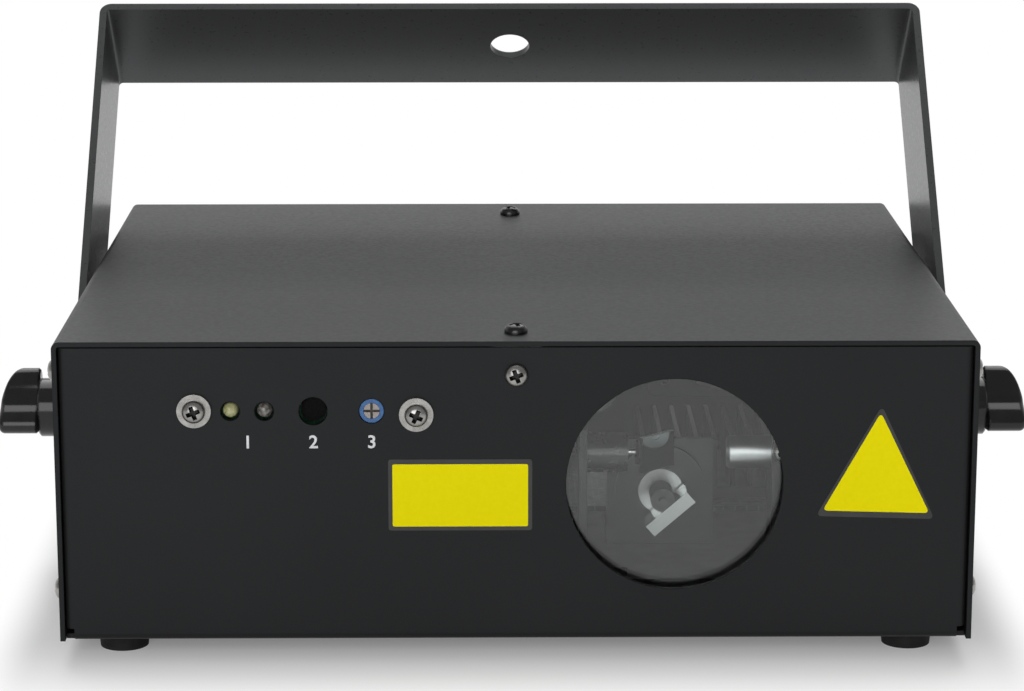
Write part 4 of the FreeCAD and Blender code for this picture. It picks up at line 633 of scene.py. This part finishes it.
# Yoke clamps: three-lobed knobs of glossy black plastic on steel studs, with nuts inside the hood.
# Turning a knob presses its plastic washer and the yoke leg against a rubber washer on the hood.
# Each knob takes the place of a plainer solid and keeps to its axis, seat and tip.
knob_gloss = Finish("glossy_knob_plastic", (0.01, 0.01, 0.011), 0.09, specular=0.36)
knob_gloss.spread_colour(knob_gloss.clouds(6 * MM), (0.009, 0.009, 0.01), (0.013, 0.013, 0.014))
knob_gloss.spread_gloss(knob_gloss.clouds(4 * MM), 0.07, 0.12)
knob_gloss.soft_edges(0.6 * MM)
dress(zinc_plate, "left_knob_stud", "right_knob_stud", "pivot_nuts")
dress(black_plastic, "left_knob_washer", "right_knob_washer")
dress(rubber, "friction_washers")
COLLAR_RADIUS = 7.75 * MM
COLLAR_TALL = 8.8 * MM
COLLAR_SIDES = 64
LOBES_FOOT = 8.5 * MM
LOBE_COUNT = 3
LOBE_REACH = 10.4 * MM
LOBE_NARROWING = 1.8
VALLEY_RADIUS = 5.5 * MM
LOBE_ROUND = 1.6 * MM
FOOT_ROUND = 0.5 * MM
LOBE_TURN = math.radians(20)
SLANT_START = 0.6 * MM
SLANT_SLOPE = 0.72
SLANT_CREASE = 1.5 * MM
ROUND_STEPS = 8
FACE_STEPS = 12
OUTLINE_STEPS = 120


def knob_hub(bore_radius, bore_depth):
    """The turned part of a knob: its collar, with the blind bore for its stud."""
    profile = [(0.0, bore_depth), (bore_radius, bore_depth), (bore_radius, 0.0), (COLLAR_RADIUS, 0.0),
               (COLLAR_RADIUS, COLLAR_TALL - FOOT_ROUND), (COLLAR_RADIUS - FOOT_ROUND, COLLAR_TALL),
               (0.0, COLLAR_TALL)]
    return to_mesh(turned(profile, COLLAR_SIDES), "knob_hub")


def lobed_outline():
    """Round lobes with hollow valleys between them, as points round the axis."""
    points = []
    for step in range(OUTLINE_STEPS):
        turn = math.tau * step / OUTLINE_STEPS
        rise = ((1 + math.cos(LOBE_COUNT * turn)) / 2) ** LOBE_NARROWING
        reach = VALLEY_RADIUS + (LOBE_REACH - VALLEY_RADIUS) * rise
        points.append(Vector((reach * math.cos(turn), reach * math.sin(turn))))
    return points


def slant(x):
    """How far the knob's outer face falls away from its long lobe towards the two short ones."""
    behind = SLANT_START - x
    return SLANT_SLOPE * (behind + math.hypot(behind, SLANT_CREASE)) / 2


def knob_lobes(tip):
    """The grip of a knob: the lobed outline drawn out along the axis, with a slanting rounded face."""

    def ring(spots, height, slanting=True):
        return [solid.verts.new((spot.x, spot.y, height - slanting * slant(spot.x))) for spot in spots]

    def drawn_in(inset):
        return [point + normal * inset for point, normal in zip(outline, inward)]

    outline = lobed_outline()
    inward = []
    for index in range(OUTLINE_STEPS):
        run = (outline[(index + 1) % OUTLINE_STEPS] - outline[index - 1]).normalized()
        inward.append(Vector((-run.y, run.x)))
    solid = bmesh.new()
    rings = [ring(drawn_in(FOOT_ROUND), LOBES_FOOT, slanting=False),
             ring(drawn_in(0.0), LOBES_FOOT + FOOT_ROUND, slanting=False)]
    for step in range(ROUND_STEPS + 1):
        turn = math.pi / 2 * step / ROUND_STEPS
        height = tip - LOBE_ROUND * (1 - math.sin(turn))
        rings.append(ring(drawn_in(LOBE_ROUND * (1 - math.cos(turn))), height))
    for step in range(1, FACE_STEPS):
        share = 1 - step / FACE_STEPS
        rings.append(ring([spot * share for spot in drawn_in(LOBE_ROUND)], tip))
    centre = solid.verts.new((0.0, 0.0, tip - slant(0.0)))
    for index in range(OUTLINE_STEPS):
        after = (index + 1) % OUTLINE_STEPS
        for lower, upper in zip(rings, rings[1:]):
            solid.faces.new((lower[index], lower[after], upper[after], upper[index]))
        solid.faces.new((rings[-1][index], rings[-1][after], centre))
    solid.faces.new(rings[0])
    bmesh.ops.recalc_face_normals(solid, faces=solid.faces)
    return to_mesh(solid, "knob_lobes")


for hand, way_out in (("left", -1), ("right", 1)):
    knob_low, knob_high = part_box(f"{hand}_knob")
    stud_low, stud_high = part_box(f"{hand}_knob_stud")
    stud_middle = (stud_low + stud_high) / 2
    seat_x = knob_high.x if way_out < 0 else knob_low.x
    stud_end_x = stud_low.x if way_out < 0 else stud_high.x
    hub = knob_hub((stud_high.z - stud_low.z) / 2, abs(stud_end_x - seat_x))
    moulding = combined(hub, knob_lobes(knob_high.x - knob_low.x), "UNION")
    outward = Vector((way_out, 0.0, 0.0))
    long_lobe = Vector((0.0, -math.cos(LOBE_TURN), -math.sin(LOBE_TURN)))
    turned_out = Matrix((long_lobe, outward.cross(long_lobe), outward)).transposed().to_4x4()
    moulding.transform(Matrix.Translation((seat_x, stud_middle.y, stud_middle.z)) @ turned_out)
    knob = new_piece(f"{hand}_knob_moulded", smoothed(moulding), knob_gloss)
    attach(knob, f"{hand}_knob")
    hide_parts(f"{hand}_knob")

# Front panel stickers: a blank yellow rectangle and a blank yellow triangle on black vinyl.
# Both are die cut with rounded corners and pressed onto the powder coat.
VINYL_THICK = 0.08 * MM
INK_THICK = 0.02 * MM
CORNER_STEPS = 6
panel_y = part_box("chassis")[0].y
panel_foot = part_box("chassis")[0].z


def die_cut(name, corners, corner_radius, back_y, thickness, finish):
    """A thin sheet on the panel; its corners, X and height, and their radius are in millimetres."""
    solid = bmesh.new()
    outline = []
    for index, corner in enumerate(corners):
        here = Vector(corner)
        before = (Vector(corners[index - 1]) - here).normalized()
        after = (Vector(corners[(index + 1) % len(corners)]) - here).normalized()
        reach = corner_radius / math.tan(before.angle(after) / 2)
        for step in range(CORNER_STEPS + 1):
            share = step / CORNER_STEPS
            point = here + before * reach * (1 - share) ** 2 + after * reach * share ** 2
            outline.append(solid.verts.new((point.x * MM, back_y, panel_foot + point.y * MM)))
    face = solid.faces.new(outline)
    raised = bmesh.ops.extrude_face_region(solid, geom=[face])
    for item in raised["geom"]:
        if isinstance(item, bmesh.types.BMVert):
            item.co.y -= thickness
    bmesh.ops.recalc_face_normals(solid, faces=solid.faces)
    piece = new_piece(name, to_mesh(solid, name), finish)
    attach(piece, "housing")


black_vinyl = Finish("black_sticker_vinyl", (0.015, 0.015, 0.014), 0.35)
black_vinyl.spread_colour(black_vinyl.clouds(5 * MM), (0.012, 0.012, 0.011), (0.02, 0.02, 0.018))
yellow_ink = Finish("yellow_sticker_ink", (0.93, 0.82, 0.002), 0.4, specular=0.04)
yellow_ink.spread_colour(yellow_ink.clouds(1.2 * MM), (0.92, 0.81, 0.001), (0.94, 0.83, 0.003))
yellow_ink.spread_gloss(yellow_ink.clouds(3 * MM), 0.34, 0.46)
ink_y = panel_y - VINYL_THICK
die_cut("rectangle_sticker", [(-30.6, 45.1), (3.8, 45.1), (3.8, 27.5), (-30.6, 27.5)], 0.8,
        panel_y, VINYL_THICK, black_vinyl)
die_cut("rectangle_sticker_face", [(-29.6, 43.9), (2.8, 43.9), (2.8, 28.5), (-29.6, 28.5)], 0.5,
        ink_y, INK_THICK, yellow_ink)
die_cut("triangle_sticker", [(87.0, 58.1), (100.3, 30.0), (71.8, 30.8)], 1.0,
        panel_y, VINYL_THICK, black_vinyl)
die_cut("triangle_sticker_face", [(86.8, 56.4), (99.0, 31.5), (73.4, 32.2)], 0.8,
        ink_y, INK_THICK, yellow_ink)

# Control marks: plain numbers screen printed in white under the lamps, the microphone and the trimmer.
# The ink is a thin film on the powder coat.
MARK_TALL = 4.4 * MM
MARK_THICK = 0.012 * MM
MARK_BOLD = 0.08 * MM
MARK_HEIGHT = 48.0 * MM
white_ink = Finish("white_print_ink", (0.78, 0.79, 0.82), 0.5, specular=0.3)
white_ink.spread_colour(white_ink.clouds(1.5 * MM), (0.7, 0.71, 0.74), (0.82, 0.83, 0.86))
lamp_x = (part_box("left_led")[0].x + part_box("right_led")[1].x) / 2
microphone_x = (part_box("microphone")[0].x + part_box("microphone")[1].x) / 2
trimmer_x = (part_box("trimmer_rotor")[0].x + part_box("trimmer_rotor")[1].x) / 2
for number, mark_x in enumerate((lamp_x, microphone_x, trimmer_x), start=1):
    lettering = bpy.data.curves.new(f"control_mark_{number}", "FONT")
    lettering.body = str(number)
    lettering.size = MARK_TALL
    lettering.extrude = MARK_THICK
    lettering.offset = MARK_BOLD
    lettering.align_x = "CENTER"
    lettering.materials.append(white_ink.material)
    mark = bpy.data.objects.new(f"control_mark_{number}", lettering)
    bpy.context.scene.collection.objects.link(mark)
    mark.location = (mark_x, panel_y - MARK_THICK, panel_foot + MARK_HEIGHT)
    mark.rotation_euler = (math.pi / 2, 0.0, 0.0)
    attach(mark, "housing")

# Studio: a white table under soft boxes, with a white surround that metal and glass reflect.
# The camera looks from the front and a little from above.
CAMERA_PLACE = (-0.00836, -0.82104, 0.24701)
CAMERA_PITCH = 12.971
CAMERA_YAW = 0.575
CAMERA_LENS = 111.29
SURROUND_LEVEL = 0.5
FRONT_SHARE = 0.35
BACK_FULL = 0.75
# Footprint, nearest lift, reach and side squeeze of the painted shadow zone on the table.
FOOT_PRINT = (116 * MM, 68 * MM, 1.0)
LIFT_NEAR = 0.17
SHADOW_REACH = 68 * MM
SIDE_SQUEEZE = 4.5
FLOOR_HALF = 6.0
scene = bpy.context.scene
scene.view_settings.view_transform = "Standard"


def seen_directly(tree):
    """One where a ray comes from the camera, a reflection or a glass pane, otherwise zero."""
    path = tree.nodes.new("ShaderNodeLightPath")
    result = path.outputs["Is Camera Ray"]
    for kind in ("Is Glossy Ray", "Is Transmission Ray"):
        either = tree.nodes.new("ShaderNodeMath")
        either.operation = "MAXIMUM"
        tree.links.new(result, either.inputs[0])
        tree.links.new(path.outputs[kind], either.inputs[1])
        result = either.outputs["Value"]
    return result


surround = bpy.data.worlds.new("white_surround")
surround.use_nodes = True
scene.world = surround
glow = surround.node_tree.nodes["Background"]
glow.inputs["Color"].default_value = (1.0, 1.0, 1.0, 1.0)
level_of_glow = surround.node_tree.nodes.new("ShaderNodeMapRange")
level_of_glow.inputs["To Min"].default_value = SURROUND_LEVEL
level_of_glow.inputs["To Max"].default_value = 1.0
direction = surround.node_tree.nodes.new("ShaderNodeTexCoord")
parts_of_direction = surround.node_tree.nodes.new("ShaderNodeSeparateXYZ")
front_to_back = surround.node_tree.nodes.new("ShaderNodeMapRange")
front_to_back.inputs["From Min"].default_value = 0.0
front_to_back.inputs["From Max"].default_value = BACK_FULL
front_to_back.inputs["To Min"].default_value = FRONT_SHARE
dimmed = surround.node_tree.nodes.new("ShaderNodeMath")
dimmed.operation = "MULTIPLY"
plain_view = surround.node_tree.nodes.new("ShaderNodeLightPath")
backdrop = surround.node_tree.nodes.new("ShaderNodeMath")
backdrop.operation = "MAXIMUM"
for source, target in (
        (seen_directly(surround.node_tree), level_of_glow.inputs["Value"]),
        (direction.outputs["Generated"], parts_of_direction.inputs["Vector"]),
        (parts_of_direction.outputs["Y"], front_to_back.inputs["Value"]),
        (level_of_glow.outputs["Result"], dimmed.inputs[0]),
        (front_to_back.outputs["Result"], dimmed.inputs[1]),
        (dimmed.outputs["Value"], backdrop.inputs[0]),
        (plain_view.outputs["Is Camera Ray"], backdrop.inputs[1]),
        (backdrop.outputs["Value"], glow.inputs["Strength"])):
    surround.node_tree.links.new(source, target)

table = bmesh.new()
bmesh.ops.create_grid(table, x_segments=1, y_segments=1, size=FLOOR_HALF)
table_white = Finish("white_table", (0.9, 0.9, 0.9), 0.9, specular=0.0)
table_white.spread_colour(table_white.clouds(0.4), (0.89, 0.89, 0.89), (0.91, 0.91, 0.91))
# Seen directly, the table mixes in a white glow that is weakest over the object's footprint and full beyond
# SHADOW_REACH, narrower at the sides. The rendered shadow shows only inside this painted shadow zone, which is
# also a little darker where no shadow falls.
lift = table_white.tree.nodes.new("ShaderNodeEmission")
lift.inputs["Strength"].default_value = 1.0
blend_lift = table_white.tree.nodes.new("ShaderNodeMixShader")
distance = table_white.coordinates.outputs["Object"]
for operation, value in (("ABSOLUTE", None), ("SUBTRACT", FOOT_PRINT), ("MAXIMUM", (0.0, 0.0, 0.0)),
                         ("MULTIPLY", (SIDE_SQUEEZE, 1.0, 1.0)), ("LENGTH", None)):
    stage_of_distance = table_white.tree.nodes.new("ShaderNodeVectorMath")
    stage_of_distance.operation = operation
    if value:
        stage_of_distance.inputs[1].default_value = value
    table_white.join(distance, stage_of_distance.inputs[0])
    distance = stage_of_distance.outputs["Value" if operation == "LENGTH" else "Vector"]
away = table_white.tree.nodes.new("ShaderNodeMapRange")
away.interpolation_type = "SMOOTHSTEP"
away.inputs["From Max"].default_value = SHADOW_REACH
away.inputs["To Min"].default_value = LIFT_NEAR
table_white.join(distance, away.inputs["Value"])
share_of_lift = table_white.tree.nodes.new("ShaderNodeMath")
share_of_lift.operation = "MULTIPLY"
table_white.join(away.outputs["Result"], share_of_lift.inputs[1])
table_white.join(seen_directly(table_white.tree), share_of_lift.inputs[0])
table_white.join(share_of_lift.outputs["Value"], blend_lift.inputs["Fac"])
table_white.join(table_white.shader.outputs["BSDF"], blend_lift.inputs[1])
table_white.join(lift.outputs["Emission"], blend_lift.inputs[2])
table_white.join(blend_lift.outputs["Shader"], table_white.tree.nodes["Material Output"].inputs["Surface"])
floor = new_piece("table_top", to_mesh(table, "table_top"), table_white)


def soft_box(name, place, aim, width, power):
    """A square lamp at a place, turned to face a point."""
    lamp = bpy.data.lights.new(name, "AREA")
    lamp.size = width
    lamp.energy = power
    holder = bpy.data.objects.new(name, lamp)
    scene.collection.objects.link(holder)
    holder.location = place
    holder.rotation_euler = (Vector(place) - Vector(aim)).to_track_quat("Z", "Y").to_euler()


object_middle = (cad_low + cad_high) / 2
soft_box("top_box", (0.0, 0.8, 1.4), object_middle, 1.6, 20.0)
soft_box("front_box", (-0.3, -1.7, 0.4), object_middle, 1.2, 15.5)

lens = bpy.data.cameras.new("camera")
lens.sensor_width = 36.0
lens.lens = CAMERA_LENS
camera = bpy.data.objects.new("camera", lens)
scene.collection.objects.link(camera)
camera.location = CAMERA_PLACE
camera.rotation_euler = (math.radians(90.0 - CAMERA_PITCH), 0.0, math.radians(-CAMERA_YAW))
scene.camera = camera
